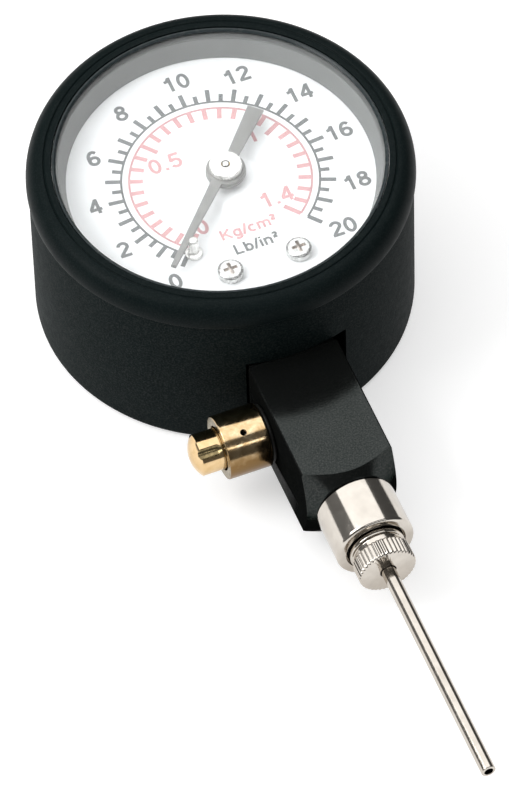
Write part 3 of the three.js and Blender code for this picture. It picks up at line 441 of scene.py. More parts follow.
def lathe(name, corners, place=ON_DIAL, sides=128, steps=4):
    """Outline spun round the axis of a place."""
    bm = bmesh.new()
    rings = [ring_of_vertices(bm, radius, height, sides) for radius, height in rounded(corners, steps)]
    for ring, following in zip(rings, rings[1:] + rings[:1]):
        for k in range(sides):
            m = (k + 1) % sides
            face = list(dict.fromkeys((ring[k], ring[m], following[m], following[k])))
            if len(face) > 2:
                bm.faces.new(face)
    return to_mesh(bm, name, place)


print("lathe ready, with up to", FINE_SIDES, "sides")

# %% [markdown]
# ## Cutting, joining and handing over
#
# Slots, holes and flats are cut with Blender's exact boolean, as a milling cutter would
# cut them. A box with broken edges is both the stock of the stem and the cutter of most
# slots. When a mesh is ready, one helper shades it, gives it its finish, sets it on the
# body it rides on and hides the plain CAD solids it stands for.

# %% Cutting and placing helpers
def block(name, low, high, place=ON_DIAL, edge=0.0, steps=3):
    """Box between two corners, with its edges broken."""
    bm = bmesh.new()
    middle = (Vector(low) + Vector(high)) / 2
    size = Vector(high) - Vector(low)
    bmesh.ops.create_cube(bm, size=1, matrix=Matrix.Translation(middle) @ Matrix.Diagonal((*size, 1)))
    if edge:
        bmesh.ops.bevel(bm, geom=bm.edges[:], offset=edge, segments=steps, profile=0.5, affect="EDGES")
    return to_mesh(bm, name, place)


def temporary(mesh):
    """Object in the scene for a mesh, so that modifiers can work on it."""
    stock = bpy.data.objects.new("stock", mesh)
    bpy.context.collection.objects.link(stock)
    return stock


def made_plain(stock, name, spent=()):
    """Plain mesh of what the modifiers of `stock` make; the stock and the tools are thrown away."""
    graph = bpy.context.evaluated_depsgraph_get()
    result = bpy.data.meshes.new_from_object(stock.evaluated_get(graph))
    for used in (stock, *spent):
        used_data = used.data
        bpy.data.objects.remove(used)
        if isinstance(used_data, bpy.types.Mesh):
            bpy.data.meshes.remove(used_data)
    result.name = name
    return result


def carve(mesh, tools, operation="DIFFERENCE"):
    """Mesh after a boolean with each tool in turn."""
    name, stock = mesh.name, temporary(mesh)
    cutters = [temporary(tool) for tool in tools]
    for cutter in cutters:
        cut = stock.modifiers.new("cut", "BOOLEAN")
        cut.operation, cut.solver, cut.object = operation, "EXACT", cutter
    return made_plain(stock, name, cutters)


def joined(name, meshes):
    bm = bmesh.new()
    for mesh in meshes:
        bm.from_mesh(mesh)
        bpy.data.meshes.remove(mesh)
    return to_mesh(bm, name, Matrix())


def dress(mesh, material, slot, replaces=(), crease=32, stain=None, stained=None):
    """Object with its finish; faces whose middle passes the test `stained` take the finish `stain`."""
    mesh.materials.clear()
    mesh.materials.append(material)
    if stain:
        mesh.materials.append(stain)
    for face in mesh.polygons:
        face.use_smooth = True
        face.material_index = int(bool(stain) and stained(face.center / MM))
    mesh.set_sharp_from_angle(angle=math.radians(crease))
    piece = bpy.data.objects.new(mesh.name, mesh)
    bpy.context.collection.objects.link(piece)
    if replaces:
        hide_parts(*replaces)
    return piece


def hand_over(mesh, material, body, slot, replaces=(), **options):
    """Dressed piece that rides on a body."""
    piece = dress(mesh, material, slot, replaces, **options)
    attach(piece, body)
    print(f"{piece.name}: {len(mesh.polygons)} faces on {body}")
    return piece


# %% [markdown]
# ## Node trees for what repeats
#
# Three small Geometry Nodes trees do most of the repeating. The first sets copies round a
# circle, for dial ticks and the pinion's leaves. The second sets them in a row, for pairs
# of screws. The third sweeps a section along an arc, for printed lines and the pressure
# tube. Each ends in Realize Instances and Set Material, so that what leaves it is a plain
# mesh. A modifier's input is set by its socket's identifier, because two sockets may
# share a name.

# %% Helpers for node trees
def start_tree(name, inputs):
    """Empty tree with named inputs, and the sockets that hand their values on."""
    tree = bpy.data.node_groups.new(name, "GeometryNodeTree")
    tree.is_modifier = True
    tree.interface.new_socket("Geometry", in_out="INPUT", socket_type="NodeSocketGeometry")
    for label, kind in inputs.items():
        tree.interface.new_socket(label, in_out="INPUT", socket_type="NodeSocket" + kind)
    tree.interface.new_socket("Geometry", in_out="OUTPUT", socket_type="NodeSocketGeometry")
    return tree, add(tree, "NodeGroupInput").outputs


def end_tree(tree, geometry, material):
    """Closes a tree, so that plain geometry with its material leaves it."""
    real = add(tree, "GeometryNodeRealizeInstances", {"Geometry": geometry})
    painted = add(tree, "GeometryNodeSetMaterial", {"Geometry": real.outputs[0], "Material": material})
    add(tree, "NodeGroupOutput", {"Geometry": painted.outputs[0]})


def grow(name, mesh, tree, material, **values):
    """Runs a tree on a mesh, and returns the plain mesh that comes out."""
    stock = temporary(mesh)
    nodes = stock.modifiers.new("nodes", "NODES")
    nodes.node_group = tree
    wanted = {label.replace("_", " "): value for label, value in values.items()}
    wanted["Material"] = material
    for item in tree.interface.items_tree:
        if item.in_out == "INPUT" and item.name in wanted:
            nodes[item.identifier] = wanted[item.name]
    return joined(name, [made_plain(stock, "grown")])


# %% Tree: copies round a circle
def round_tree():
    inputs = {
        "Count": "Int", "Radius": "Float", "Start": "Float", "Step": "Float", "Material": "Material",
    }
    tree, given = start_tree("copies_round_a_circle", inputs)
    index = add(tree, "GeometryNodeInputIndex").outputs[0]
    angle = math_node(tree, "MULTIPLY_ADD", index, given["Step"], given["Start"])
    x = math_node(tree, "MULTIPLY", math_node(tree, "COSINE", angle), given["Radius"])
    y = math_node(tree, "MULTIPLY", math_node(tree, "SINE", angle), given["Radius"])
    place = add(tree, "ShaderNodeCombineXYZ", {"X": x, "Y": y}).outputs[0]
    line = add(tree, "GeometryNodeMeshLine", {"Count": given["Count"]}).outputs[0]
    points = add(tree, "GeometryNodeSetPosition", {"Geometry": line, "Position": place}).outputs[0]
    turn = add(tree, "ShaderNodeCombineXYZ", {"Z": angle}).outputs[0]
    copies = add(
        tree, "GeometryNodeInstanceOnPoints",
        {"Points": points, "Instance": given["Geometry"], "Rotation": turn},
    )
    end_tree(tree, copies.outputs[0], given["Material"])
    return tree


copies_round = round_tree()
print("tree ready:", copies_round.name)

# %% Tree: copies in a row
def row_tree():
    inputs = {"Count": "Int", "First": "Vector", "Step": "Vector", "Material": "Material"}
    tree, given = start_tree("copies_in_a_row", inputs)
    line = add(
        tree, "GeometryNodeMeshLine",
        {"Count": given["Count"], "Start Location": given["First"], "Offset": given["Step"]},
    )
    copies = add(
        tree, "GeometryNodeInstanceOnPoints", {"Points": line.outputs[0], "Instance": given["Geometry"]},
    )
    end_tree(tree, copies.outputs[0], given["Material"])
    return tree


copies_in_row = row_tree()
print("tree ready:", copies_in_row.name)

# %% Tree: a section swept along an arc
def arc_tree():
    inputs = {
        "Radius": "Float", "Start": "Float", "Sweep": "Float", "Width": "Float", "Thickness": "Float",
        "Rounding": "Float", "Level": "Float", "Steps": "Int", "Material": "Material",
    }
    tree, given = start_tree("section_along_an_arc", inputs)
    arc = add(
        tree, "GeometryNodeCurveArc",
        {"Resolution": given["Steps"], "Radius": given["Radius"], "Start Angle": given["Start"],
         "Sweep Angle": given["Sweep"]},
    )
    section = add(
        tree, "GeometryNodeCurvePrimitiveQuadrilateral",
        {"Width": given["Width"], "Height": given["Thickness"]},
    )
    soft = add(
        tree, "GeometryNodeFilletCurve",
        {"Curve": section.outputs[0], "Radius": given["Rounding"], "Count": 3}, mode="POLY",
    )
    swept = add(
        tree, "GeometryNodeCurveToMesh",
        {"Curve": arc.outputs["Curve"], "Profile Curve": soft.outputs[0], "Fill Caps": True},
    )
    lift = add(tree, "ShaderNodeCombineXYZ", {"Z": given["Level"]}).outputs[0]
    lifted = add(tree, "GeometryNodeTransform", {"Geometry": swept.outputs[0], "Translation": lift})
    end_tree(tree, lifted.outputs[0], given["Material"])
    return tree


section_along_arc = arc_tree()
print("tree ready:", section_along_arc.name)

# %% [markdown]
# ## Case
#
# The case is a deep moulded cup. The stem passes through a slot in its side. The back is
# out of sight in the photograph, and here two screws go through it into the stem, as is
# usual. The cup is one lathe outline, with a round at the back edge and a step at the top
# that the bezel snaps over; the slot and the screw holes are then cut out of it.

# %% Case cup
CASE_RADIUS = 25.7
CASE_BORE = 23.9
CASE_FLOOR = 1.6
SHOULDER = 24.6
NECK_RADIUS = 24.8
NECK_TOP = 26.1

cup = lathe("case_shell", [
    (0, 0), (CASE_RADIUS, 0, 1.0), (CASE_RADIUS, SHOULDER, 0.12), (NECK_RADIUS, SHOULDER),
    (NECK_RADIUS, NECK_TOP, 0.1), (CASE_BORE, NECK_TOP, 0.1),
    (CASE_BORE, CASE_FLOOR, 0.8), (0, CASE_FLOOR),
], sides=FINE_SIDES)
print("case cup drawn,", round(NECK_TOP, 1), "mm deep")

# %% Slot for the stem and holes for its screws
STEM_HALF = 6.35
SLOT_INNER_END = 21.5
SLOT_PLAY_LEFT, SLOT_PLAY_RIGHT = 0.1, 1.6
SLOT_PLAY_BELOW, SLOT_PLAY_ABOVE = 0.4, 0.08
POCKET_RADIUS, POCKET_DEPTH = 2.45, 1.4
SHANK_HOLE = 1.15
CASE_SCREW_FIRST = (0, -13.0, 0)
CASE_SCREW_STEP = (0, -7.5, 0)


def vector_mm(values):
    return [value * MM for value in values]


slot = block(
    "slot",
    (-STEM_HALF - SLOT_PLAY_LEFT, -CASE_RADIUS - 1, AXIS_HEIGHT - STEM_HALF - SLOT_PLAY_BELOW),
    (STEM_HALF + SLOT_PLAY_RIGHT, -SLOT_INNER_END, AXIS_HEIGHT + STEM_HALF + SLOT_PLAY_ABOVE),
    edge=0.05,
)
pocket = lathe("pocket", [
    (0, -1), (POCKET_RADIUS, -1), (POCKET_RADIUS, POCKET_DEPTH), (SHANK_HOLE, POCKET_DEPTH),
    (SHANK_HOLE, 3), (0, 3),
], sides=48)
pockets = grow(
    "pockets", pocket, copies_in_row, case_black, Count=2,
    First=vector_mm(CASE_SCREW_FIRST), Step=vector_mm(CASE_SCREW_STEP),
)
hand_over(carve(cup, [slot, pockets]), case_black, "gauge_body", "case_black", ["case_cup"])

# %% [markdown]
# ## Bezel, bead, window and spacer
#
# The bezel is a snap-on ring with a rounded crown, a fine groove and a flat lip round the
# window. A thin bead of sealant lies inside the lip. Under the window a grey spacer ring
# keeps it off the dial, and opens out towards it, so it shows as a grey band round the
# white dial. The crown is a quarter of an ellipse, worked out by a formula.

# %% Bezel
BEZEL_RADIUS = 26.0
BEZEL_TOP = 28.1
BEZEL_FOOT = 24.7
BEZEL_BORE = 24.95
LIP_EDGE = 22.5
LIP_UNDERSIDE = 27.65
WINDOW_SEAT, WINDOW_ROOM = 26.2, 23.45
CROWN_EDGE = 23.65
CROWN_HEIGHT = 3.0
GROOVE_WIDTH, GROOVE_DEPTH = 0.35, 0.2

crown = [
    (
        CROWN_EDGE + (BEZEL_RADIUS - CROWN_EDGE) * math.cos(math.radians(turn)),
        BEZEL_TOP - CROWN_HEIGHT + CROWN_HEIGHT * math.sin(math.radians(turn)),
    )
    for turn in range(0, 88, 4)
]
bezel_mesh = lathe("bezel", [
    (BEZEL_BORE, BEZEL_FOOT), (BEZEL_RADIUS, BEZEL_FOOT, 0.15), *crown,
    (CROWN_EDGE, BEZEL_TOP, 0.08), (CROWN_EDGE - 0.18, BEZEL_TOP - GROOVE_DEPTH, 0.04),
    (CROWN_EDGE - GROOVE_WIDTH, BEZEL_TOP, 0.08),
    (LIP_EDGE, BEZEL_TOP, 0.1), (LIP_EDGE, LIP_UNDERSIDE, 0.04),
    (WINDOW_ROOM, LIP_UNDERSIDE), (WINDOW_ROOM, WINDOW_SEAT), (BEZEL_BORE, WINDOW_SEAT),
], sides=FINE_SIDES)
hand_over(bezel_mesh, bezel_black, "gauge_body", "bezel_black", ["bezel_ring"])

# %% Bead between the lip and the window
bead_mesh = lathe("window_bead", [
    (21.9, LIP_UNDERSIDE), (22.4, LIP_UNDERSIDE), (22.4, 28.02, 0.12), (22.15, 27.97, 0.2),
    (21.9, 27.75, 0.08),
], sides=FINE_SIDES, steps=6)
hand_over(bead_mesh, bead_grey, "gauge_body", "rubber")

# %% [markdown]
# A smooth shade is blended between a face's corners. On a wide flat face that ends in a
# rounding it would tilt the whole face, and a window shaded like that bends the view as
# a lens does. Two narrow rings near the window's edge keep the tilt out of its middle.

# %% Window
WINDOW_LOW, WINDOW_HIGH = 26.55, 27.55
WINDOW_RADIUS = 23.3
FLAT_RINGS = (22.8, 23.0)
window_mesh = lathe("window", [
    (0, WINDOW_LOW), *[(radius, WINDOW_LOW) for radius in FLAT_RINGS],
    (WINDOW_RADIUS, WINDOW_LOW, 0.1), (WINDOW_RADIUS, WINDOW_HIGH, 0.1),
    *[(radius, WINDOW_HIGH) for radius in reversed(FLAT_RINGS)], (0, WINDOW_HIGH),
], sides=FINE_SIDES)
hand_over(window_mesh, window_clear, "gauge_body", "lens_clear", ["lens"])

# %% Spacer ring
DIAL_TOP = 23.15
SPACER_LOW, SPACER_HIGH = DIAL_TOP + 0.1, WINDOW_LOW - 0.1
DIAL_OPENING, WINDOW_OPENING = 20.7, 21.6
spacer_mesh = lathe("spacer", [
    (DIAL_OPENING, SPACER_LOW), (WINDOW_RADIUS, SPACER_LOW), (WINDOW_RADIUS, SPACER_HIGH),
    (WINDOW_OPENING, SPACER_HIGH, 0.08),
], sides=FINE_SIDES)
hand_over(spacer_mesh, ring_grey, "gauge_body", "ring_grey", ["spacer_ring"])

# %% [markdown]
# ## Dial plate
#
# The dial is a thin stamped disc, painted white. It has a hole for the pointer's arbor
# and two for its screws. The pointer's axis lies a little beside the middle of the case.

# %% Dial plate
DIAL_RADIUS = 23.5
DIAL_THICKNESS = 0.5
ARBOR_HOLE, SCREW_HOLE = 1.5, 0.75
POINTER_AXIS = (0.66, -0.15)
DIAL_SCREW_FIRST = (-4.65, -15.3, 0)
DIAL_SCREW_STEP = (9.7, 0, 0)


def beside(mesh, place):
    """Moves a mesh made on the dial's axis to another place on the dial."""
    mesh.transform(Matrix.Translation((place[0] * MM, place[1] * MM, 0)))
    return mesh


def drill(radius, sides):
    """Round tool that reaches through the dial."""
    return lathe("drill", [(0, 22), (radius, 22), (radius, 24), (0, 24)], sides=sides)


screw_drills = grow(
    "drills", drill(SCREW_HOLE, 32), copies_in_row, dial_white, Count=2,
    First=vector_mm(DIAL_SCREW_FIRST), Step=vector_mm(DIAL_SCREW_STEP),
)
arbor_drill = beside(drill(ARBOR_HOLE, 64), POINTER_AXIS)
dial_mesh = lathe("dial_face", [
    (0, DIAL_TOP - DIAL_THICKNESS), (DIAL_RADIUS, DIAL_TOP - DIAL_THICKNESS, 0.05),
    (DIAL_RADIUS, DIAL_TOP, 0.05), (0, DIAL_TOP),
], sides=FINE_SIDES)
dial_mesh = carve(dial_mesh, [screw_drills, arbor_drill])
hand_over(dial_mesh, dial_white, "gauge_body", "dial_white", ["dial_plate"])

# %% [markdown]
# ## Printed scales
#
# The scale runs clockwise from 0 at the lower left to 20 at the lower right, over 280
# degrees. The ink is modelled as a film about a hundredth of a millimetre thick: that way
# its edges stay crisp from any distance. Ticks are copies round a circle, and the lines
# that carry them are arcs. The outer scale is dark grey and the inner one is red.

# %% Tick and arc helpers
INK = 0.012
PRINT_LEVEL = DIAL_TOP - 0.002
PRINT_GROWTH = 1.02
SCALE_AXIS = (-0.08, -0.04)
SCALE_START = 229.5
SCALE_SWEEP = -280.0
ARC_WIDTH = 0.3


def ticks(name, material, count, first, step, inner, outer, width):
    """Ticks from radius `inner` to `outer`; `first` and `step` are degrees along the scale."""
    mark = block("mark", (0, -width / 2, PRINT_LEVEL), (outer - inner, width / 2, PRINT_LEVEL + INK))
    return grow(
        name, mark, copies_round, material, Count=count, Radius=inner * MM,
        Start=math.radians(SCALE_START + first), Step=math.radians(step),
    )


def scale_arc(name, material, radius):
    return grow(
        name, bpy.data.meshes.new("empty"), section_along_arc, material, Radius=radius * MM,
        Start=math.radians(SCALE_START), Sweep=math.radians(SCALE_SWEEP), Width=ARC_WIDTH * MM,
        Thickness=INK * MM, Rounding=INK * MM / 8, Level=(PRINT_LEVEL + INK / 2) * MM, Steps=160,
    )


def printed(name, parts, material, slot, axis=(0, 0)):
    """Joins a print and widens it about the dial's middle, to the size in the photograph."""
    film = beside(joined(name, parts), axis)
    film.transform(Matrix.Diagonal((PRINT_GROWTH, PRINT_GROWTH, 1, 1)))
    return hand_over(film, material, "gauge_body", slot)


# %% Outer scale, 0 to 20
OUTER_ARC, SHORT_END, LONG_END = 13.0, 14.3, 15.1
SHORT_WIDTH, LONG_WIDTH = 0.57, 0.6
UNITS = 20
UNIT_STEP = SCALE_SWEEP / UNITS
printed("outer_scale", [
    scale_arc("outer_arc", ink_black, OUTER_ARC),
    ticks("outer_long", ink_black, UNITS + 1, 0, UNIT_STEP, OUTER_ARC, LONG_END, LONG_WIDTH),
    ticks("outer_short", ink_black, UNITS, UNIT_STEP / 2, UNIT_STEP, OUTER_ARC, SHORT_END, SHORT_WIDTH),
], ink_black, "pointer_grey", SCALE_AXIS)

# %% Inner scale, 0 to 1.4
INNER_ARC, SHORT_FOOT, LONG_FOOT = 11.95, 10.15, 9.45
INNER_WIDTH = 0.64
TWENTIETHS = 28
TWENTIETH = SCALE_SWEEP / TWENTIETHS
printed("inner_scale", [
    scale_arc("inner_arc", ink_red, INNER_ARC),
    ticks("inner_short", ink_red, TWENTIETHS + 1, 0, TWENTIETH, SHORT_FOOT, INNER_ARC, INNER_WIDTH),
    ticks("inner_long", ink_red, 3, 0, 10 * TWENTIETH, LONG_FOOT, SHORT_FOOT, INNER_WIDTH),
    ticks("inner_last", ink_red, 1, SCALE_SWEEP, TWENTIETH, LONG_FOOT, SHORT_FOOT, INNER_WIDTH),
], ink_red, "dial_white", SCALE_AXIS)

# %% [markdown]
# ## Numbers and units
#
# The figures are a plain upright sans serif. Blender's own font is thinner than the print
# on a gauge, so each figure is drawn here as a sign painter would: a few strokes of one
# width, straight or bowed. A glyph is a list of centre lines in units of its own height,
# and a ribbon is laid along each. Each stroke is a closed film of its own.

# %% Strokes of the figures and letters
def bow(x, y, across, up, start, end):
    """Points on an ellipse about (x, y), from one angle to another."""
    steps = max(6, int(abs(end - start) / 12))
    turns = [math.radians(start + (end - start) * k / steps) for k in range(steps + 1)]
    return [(x + across * math.cos(turn), y + up * math.sin(turn)) for turn in turns]


TWO = [[*bow(0.385, 0.70, 0.24, 0.22, 170, -38), (0.17, 0.14)], [(0.07, 0.08), (0.70, 0.08)]]
SMALL_TWO = [[(x * 0.55, y * 0.52 + 0.5) for x, y in stroke] for stroke in TWO]
GLYPHS = {
    "0": [bow(0.385, 0.5, 0.245, 0.42, 0, 360)],
    "1": [[(0.45, 0), (0.45, 1)], [(0.15, 0.72), (0.27, 0.745), (0.36, 0.81), (0.41, 0.93)]],
    "2": TWO,
    "4": [[(0.53, 0), (0.53, 1)], [(0.51, 0.93), (0.12, 0.33)], [(0.05, 0.29), (0.72, 0.29)]],
    "5": [[(0.15, 0.92), (0.65, 0.92)], [(0.20, 0.96), (0.14, 0.46)],
          [(0.13, 0.50), *bow(0.37, 0.33, 0.25, 0.25, 128, -152)]],
    "6": [bow(0.385, 0.315, 0.24, 0.235, 0, 360),
          [*bow(0.415, 0.48, 0.275, 0.44, 48, 180), (0.142, 0.31)]],
    "8": [bow(0.385, 0.735, 0.2, 0.185, 0, 360), bow(0.385, 0.30, 0.245, 0.22, 0, 360)],
    ".": [[(0.195, 0), (0.195, 0.17)]],
    "/": [[(0.02, -0.03), (0.36, 1.02)]],
    "K": [[(0.12, 0), (0.12, 1)], [(0.80, 1), (0.15, 0.40)], [(0.33, 0.60), (0.84, 0)]],
    "L": [[(0.12, 0), (0.12, 1)], [(0.06, 0.08), (0.70, 0.08)]],
    "b": [[(0.12, 0), (0.12, 1)], bow(0.39, 0.365, 0.25, 0.30, 0, 360)],
    "c": [bow(0.36, 0.365, 0.26, 0.30, 48, 312)],
    "g": [bow(0.37, 0.365, 0.25, 0.30, 0, 360),
          [(0.62, 0.73), *bow(0.37, -0.02, 0.25, 0.19, 0, -150)]],
    "i": [[(0.15, 0), (0.15, 0.73)], [(0.15, 0.86), (0.15, 1.0)]],
    "m": [[(0.13, 0), (0.13, 0.73)], [*bow(0.355, 0.47, 0.225, 0.195, 180, 0), (0.58, 0)],
          [*bow(0.805, 0.47, 0.225, 0.195, 180, 0), (1.03, 0)]],
    "n": [[(0.12, 0), (0.12, 0.73)], [*bow(0.36, 0.46, 0.24, 0.205, 180, 0), (0.60, 0)]],
    "²": SMALL_TWO,
}
STEP_WIDTHS = {".": 0.39, "/": 0.39, "K": 0.93, "c": 0.69, "i": 0.31, "m": 1.16, "²": 0.46}
STEP_WIDTH = 0.77
print("glyphs drawn:", len(GLYPHS))


# %% Ribbon along a stroke
SHARPEST_MITRE = 0.5
SECTION_CORNERS = 4


def ribbon(bm, stroke, width, low, high):
    """Closed film along a stroke; a stroke that ends where it began becomes a ring."""
    points = [Vector(point) for point in stroke]
    closed = (points[0] - points[-1]).length < width / 10
    if closed:
        points.pop()
    rows = []
    for k, point in enumerate(points):
        ways = []
        if closed or k > 0:
            ways.append((point - points[k - 1]).normalized())
        if closed or k < len(points) - 1:
            ways.append((points[(k + 1) % len(points)] - point).normalized())
        along = sum(ways, Vector((0, 0))).normalized()
        side = Vector((-along.y, along.x)) * width / 2 / max(SHARPEST_MITRE, along.dot(ways[0]))
        corners = ((point + side, high), (point - side, high), (point - side, low), (point + side, low))
        rows.append([bm.verts.new((*place, level)) for place, level in corners])
    pairs = list(zip(rows, rows[1:] + rows[:1]))
    for row, following in (pairs if closed else pairs[:-1]):
        for k in range(SECTION_CORNERS):
            m = (k + 1) % SECTION_CORNERS
            bm.faces.new((row[k], row[m], following[m], following[k]))
    if not closed:
        bm.faces.new(rows[0])
        bm.faces.new(rows[-1])


print("a stroke's section has", SECTION_CORNERS, "corners")

# %% Words from strokes
LAYER_STEP = 0.0002


def words(text, middle, height, weight, width=None):
    """Text of a given height about a place on the dial; a given width spreads the letters.

    Strokes that cross lie on layers of their own, so that no two tops share a plane.
    """
    starts = [0.0]
    for letter in text[:-1]:
        starts.append(starts[-1] + STEP_WIDTHS.get(letter, STEP_WIDTH))
    xs = [
        start + x
        for start, letter in zip(starts, text) for stroke in GLYPHS[letter] for x, y in stroke
    ]
    low, high = min(xs) - weight / 2, max(xs) + weight / 2
    spare = (width / height - (high - low)) / (len(text) - 1) if width else 0
    centre = (low + high + spare * (len(text) - 1)) / 2
    bm = bmesh.new()
    layer = 0
    for k, letter in enumerate(text):
        for stroke in GLYPHS[letter]:
            layer += 1
            shift = starts[k] + spare * k - centre
            points = [
                ((x + shift) * height + middle[0], (y - 0.5) * height + middle[1]) for x, y in stroke
            ]
            top = PRINT_LEVEL + INK + layer * LAYER_STEP
            ribbon(bm, points, weight * height, PRINT_LEVEL, top)
    return to_mesh(bm, "words", ON_DIAL)


# %% Dark numbers and unit
NUMBER_HEIGHT, UNIT_HEIGHT = 2.45, 1.65
DARK_WEIGHT, DARK_UNIT_WEIGHT, DARK_UNIT_WIDTH = 0.19, 0.195, 6.3
DARK_NUMBERS = {
    "0": (-11.60, -13.41), "2": (-15.91, -6.02), "4": (-16.88, 1.96), "6": (-14.23, 9.54),
    "8": (-8.18, 15.19), "10": (0.42, 17.24), "12": (8.33, 15.39), "14": (14.86, 9.42),
    "16": (17.20, 1.52), "18": (16.30, -7.04), "20": (11.70, -13.40),
}
dark_words = [words(text, middle, NUMBER_HEIGHT, DARK_WEIGHT) for text, middle in DARK_NUMBERS.items()]
dark_words.append(words("Lb/in²", (0.38, -11.60), UNIT_HEIGHT, DARK_UNIT_WEIGHT, DARK_UNIT_WIDTH))
printed("dial_numbers", dark_words, ink_black, "pointer_grey")

# %% Red numbers and unit
RED_WEIGHT, RED_UNIT_WEIGHT, RED_UNIT_WIDTH = 0.185, 0.21, 7.8
RED_NUMBERS = {"0": (-5.21, -6.40), "0.5": (-5.81, 5.21), "1": (6.15, 5.30), "1.4": (5.70, -5.50)}
red_words = [words(text, middle, NUMBER_HEIGHT, RED_WEIGHT) for text, middle in RED_NUMBERS.items()]
red_words.append(words("Kg/cm²", (0.40, -8.80), UNIT_HEIGHT, RED_UNIT_WEIGHT, RED_UNIT_WIDTH))
printed("dial_red_words", red_words, ink_red, "dial_white")

# %% [markdown]
# ## Screws
#
# Small pan-head screws with a cross recess hold the dial, and two larger ones hold the
# stem from the back. A head is a lathe outline with two tapered blades cut out of it.
# The pair is then a row of two copies.

# %% Screw head helpers
CROSS_REACH = 0.55
CROSS_HALF_WIDTH = 0.14
CROSS_FLOOR = 0.35


def cross_screw(name, head, height, shank, length, base):
    """Pan-head screw that stands on `base`, with a cross recess in its head."""
    body = lathe(name, [
        (0, base - length), (shank, base - length, 0.1), (shank, base), (head, base, 0.05),
        (head, base + height * 0.8, 0.35), (head * 0.78, base + height, 0.3), (0, base + height),
    ], sides=64)
    reach, half = head * CROSS_REACH, head * CROSS_HALF_WIDTH
    low, high = base + height * CROSS_FLOOR, base + height + 1
    blades = [
        block("blade", (-reach, -half, low), (reach, half, high), edge=0.05, steps=1),
        block("blade", (-half, -reach, low), (half, reach, high), edge=0.05, steps=1),
    ]
    return carve(body, blades)


def in_recess(first, step, head, low, high):
    """Test for faces inside the cross recess of either screw of a pair."""
    middles = [Vector(first[:2]), Vector(first[:2]) + Vector(step[:2])]

    def test(middle):
        near = min((middle.xy - place).length for place in middles)
        return low < middle.z < high and near < head * CROSS_REACH + 0.05

    return test


print("a cross reaches over", CROSS_REACH, "of its head")

# %% Dial screws
DIAL_HEAD = 1.75
HEAD_BASE = DIAL_TOP + 0.1
dial_screw = cross_screw(
    "dial_screw", DIAL_HEAD, height=1.1, shank=0.7, length=3.2, base=HEAD_BASE,
)
dial_pair = grow(
    "dial_screws", dial_screw, copies_in_row, screw_steel, Count=2,
    First=vector_mm(DIAL_SCREW_FIRST), Step=vector_mm(DIAL_SCREW_STEP),
)
# The faces inside each cross recess take the painted shade.
hand_over(
    dial_pair, screw_steel, "gauge_body", "screw_steel", ["dial_screw_left", "dial_screw_right"],
    stain=painted_recess_shade,
    stained=in_recess(DIAL_SCREW_FIRST, DIAL_SCREW_STEP, DIAL_HEAD, HEAD_BASE + 0.3, HEAD_BASE + 1.03),
)

# %% Case screws, seen from the back
CASE_HEAD = 2.3
FLIP = Matrix.Translation((0, 0, POCKET_DEPTH * MM)) @ Matrix.Rotation(math.pi, 4, "X")
case_screw = cross_screw("case_screw", CASE_HEAD, height=1.2, shank=1.0, length=4.8, base=0.1)
case_screw.transform(FLIP)
case_pair = grow(
    "case_screws", case_screw, copies_in_row, screw_steel, Count=2,
    First=vector_mm(CASE_SCREW_FIRST), Step=vector_mm(CASE_SCREW_STEP),
)
# The faces inside each cross recess take the painted shade.
hand_over(
    case_pair, screw_steel, "gauge_body", "screw_steel", ["case_screw_upper", "case_screw_lower"],
    stain=painted_recess_shade, stained=in_recess(CASE_SCREW_FIRST, CASE_SCREW_STEP, CASE_HEAD, 0.17, 1.0),
)

# %% [markdown]
# ## Stop pin
#
# A small flanged pin is pressed into the dial beside the zero. The pointer's blade rests
# against it when there is no pressure. Its place is read from the CAD frame.

# %% Stop pin
PIN_FOOT, PIN_TOP = 22.65, 26.35
FLANGE_TOP = HEAD_BASE + 0.4
pin_low, pin_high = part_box("stop_pin")
STOP_PIN = tuple((pin_low + pin_high) / 2 / MM)[:2]
print("stop pin at", [round(value, 2) for value in STOP_PIN])
pin_mesh = lathe("zero_pin", [
    (0, PIN_FOOT), (0.6, PIN_FOOT), (0.6, HEAD_BASE), (1.15, HEAD_BASE, 0.05),
    (1.15, FLANGE_TOP, 0.15), (0.62, FLANGE_TOP + 0.1, 0.1), (0.62, PIN_TOP, 0.3), (0, PIN_TOP),
], sides=48)
hand_over(beside(pin_mesh, STOP_PIN), hub_grey, "gauge_body", "screw_steel", ["stop_pin"])

# %% [markdown]
# ## Pointer
#
# The pointer is stamped from sheet and painted grey. Its long end tapers to the tip that
# points at 0, and its short wide tail balances it. On this gauge the long arm lies a
# little to one side of the hub's centre. The hub is a turned sleeve that is pressed on
# the arbor, whose end shows in the middle. The blade is drawn pointing down and then
# turned to the rest angle.

# %% Pointer blade
REST_ANGLE = 42.7
AT_REST = Matrix.Rotation(-math.radians(REST_ANGLE), 4, "Z")
BLADE_LOW, BLADE_HIGH = 24.9, 25.3
BLADE_EDGE = 0.08
EYE_RADIUS, EYE_HOLE = 2.65, 1.6
BLADE = [
    (-0.22, -17.65), (0.42, -2.2), (0.75, 2.2), (1.15, 11.05),
    (-1.15, 11.05), (-0.75, 2.2), (-1.08, -2.2), (-0.92, -17.65),
]


def stamped(name, outline, low, high, edge):
    """Flat piece cut from sheet, with its upper edge broken."""
    bm = bmesh.new()
    bottom = [bm.verts.new((x, y, low)) for x, y in outline]
    top = [bm.verts.new((x, y, high)) for x, y in outline]
    bm.faces.new(bottom)
    rim = bm.faces.new(top)
    for k in range(len(outline)):
        m = (k + 1) % len(outline)
        bm.faces.new((bottom[k], bottom[m], top[m], top[k]))
    bmesh.ops.bevel(bm, geom=rim.edges[:], offset=edge, segments=2, profile=0.5, affect="EDGES")
    return to_mesh(bm, name, ON_DIAL)


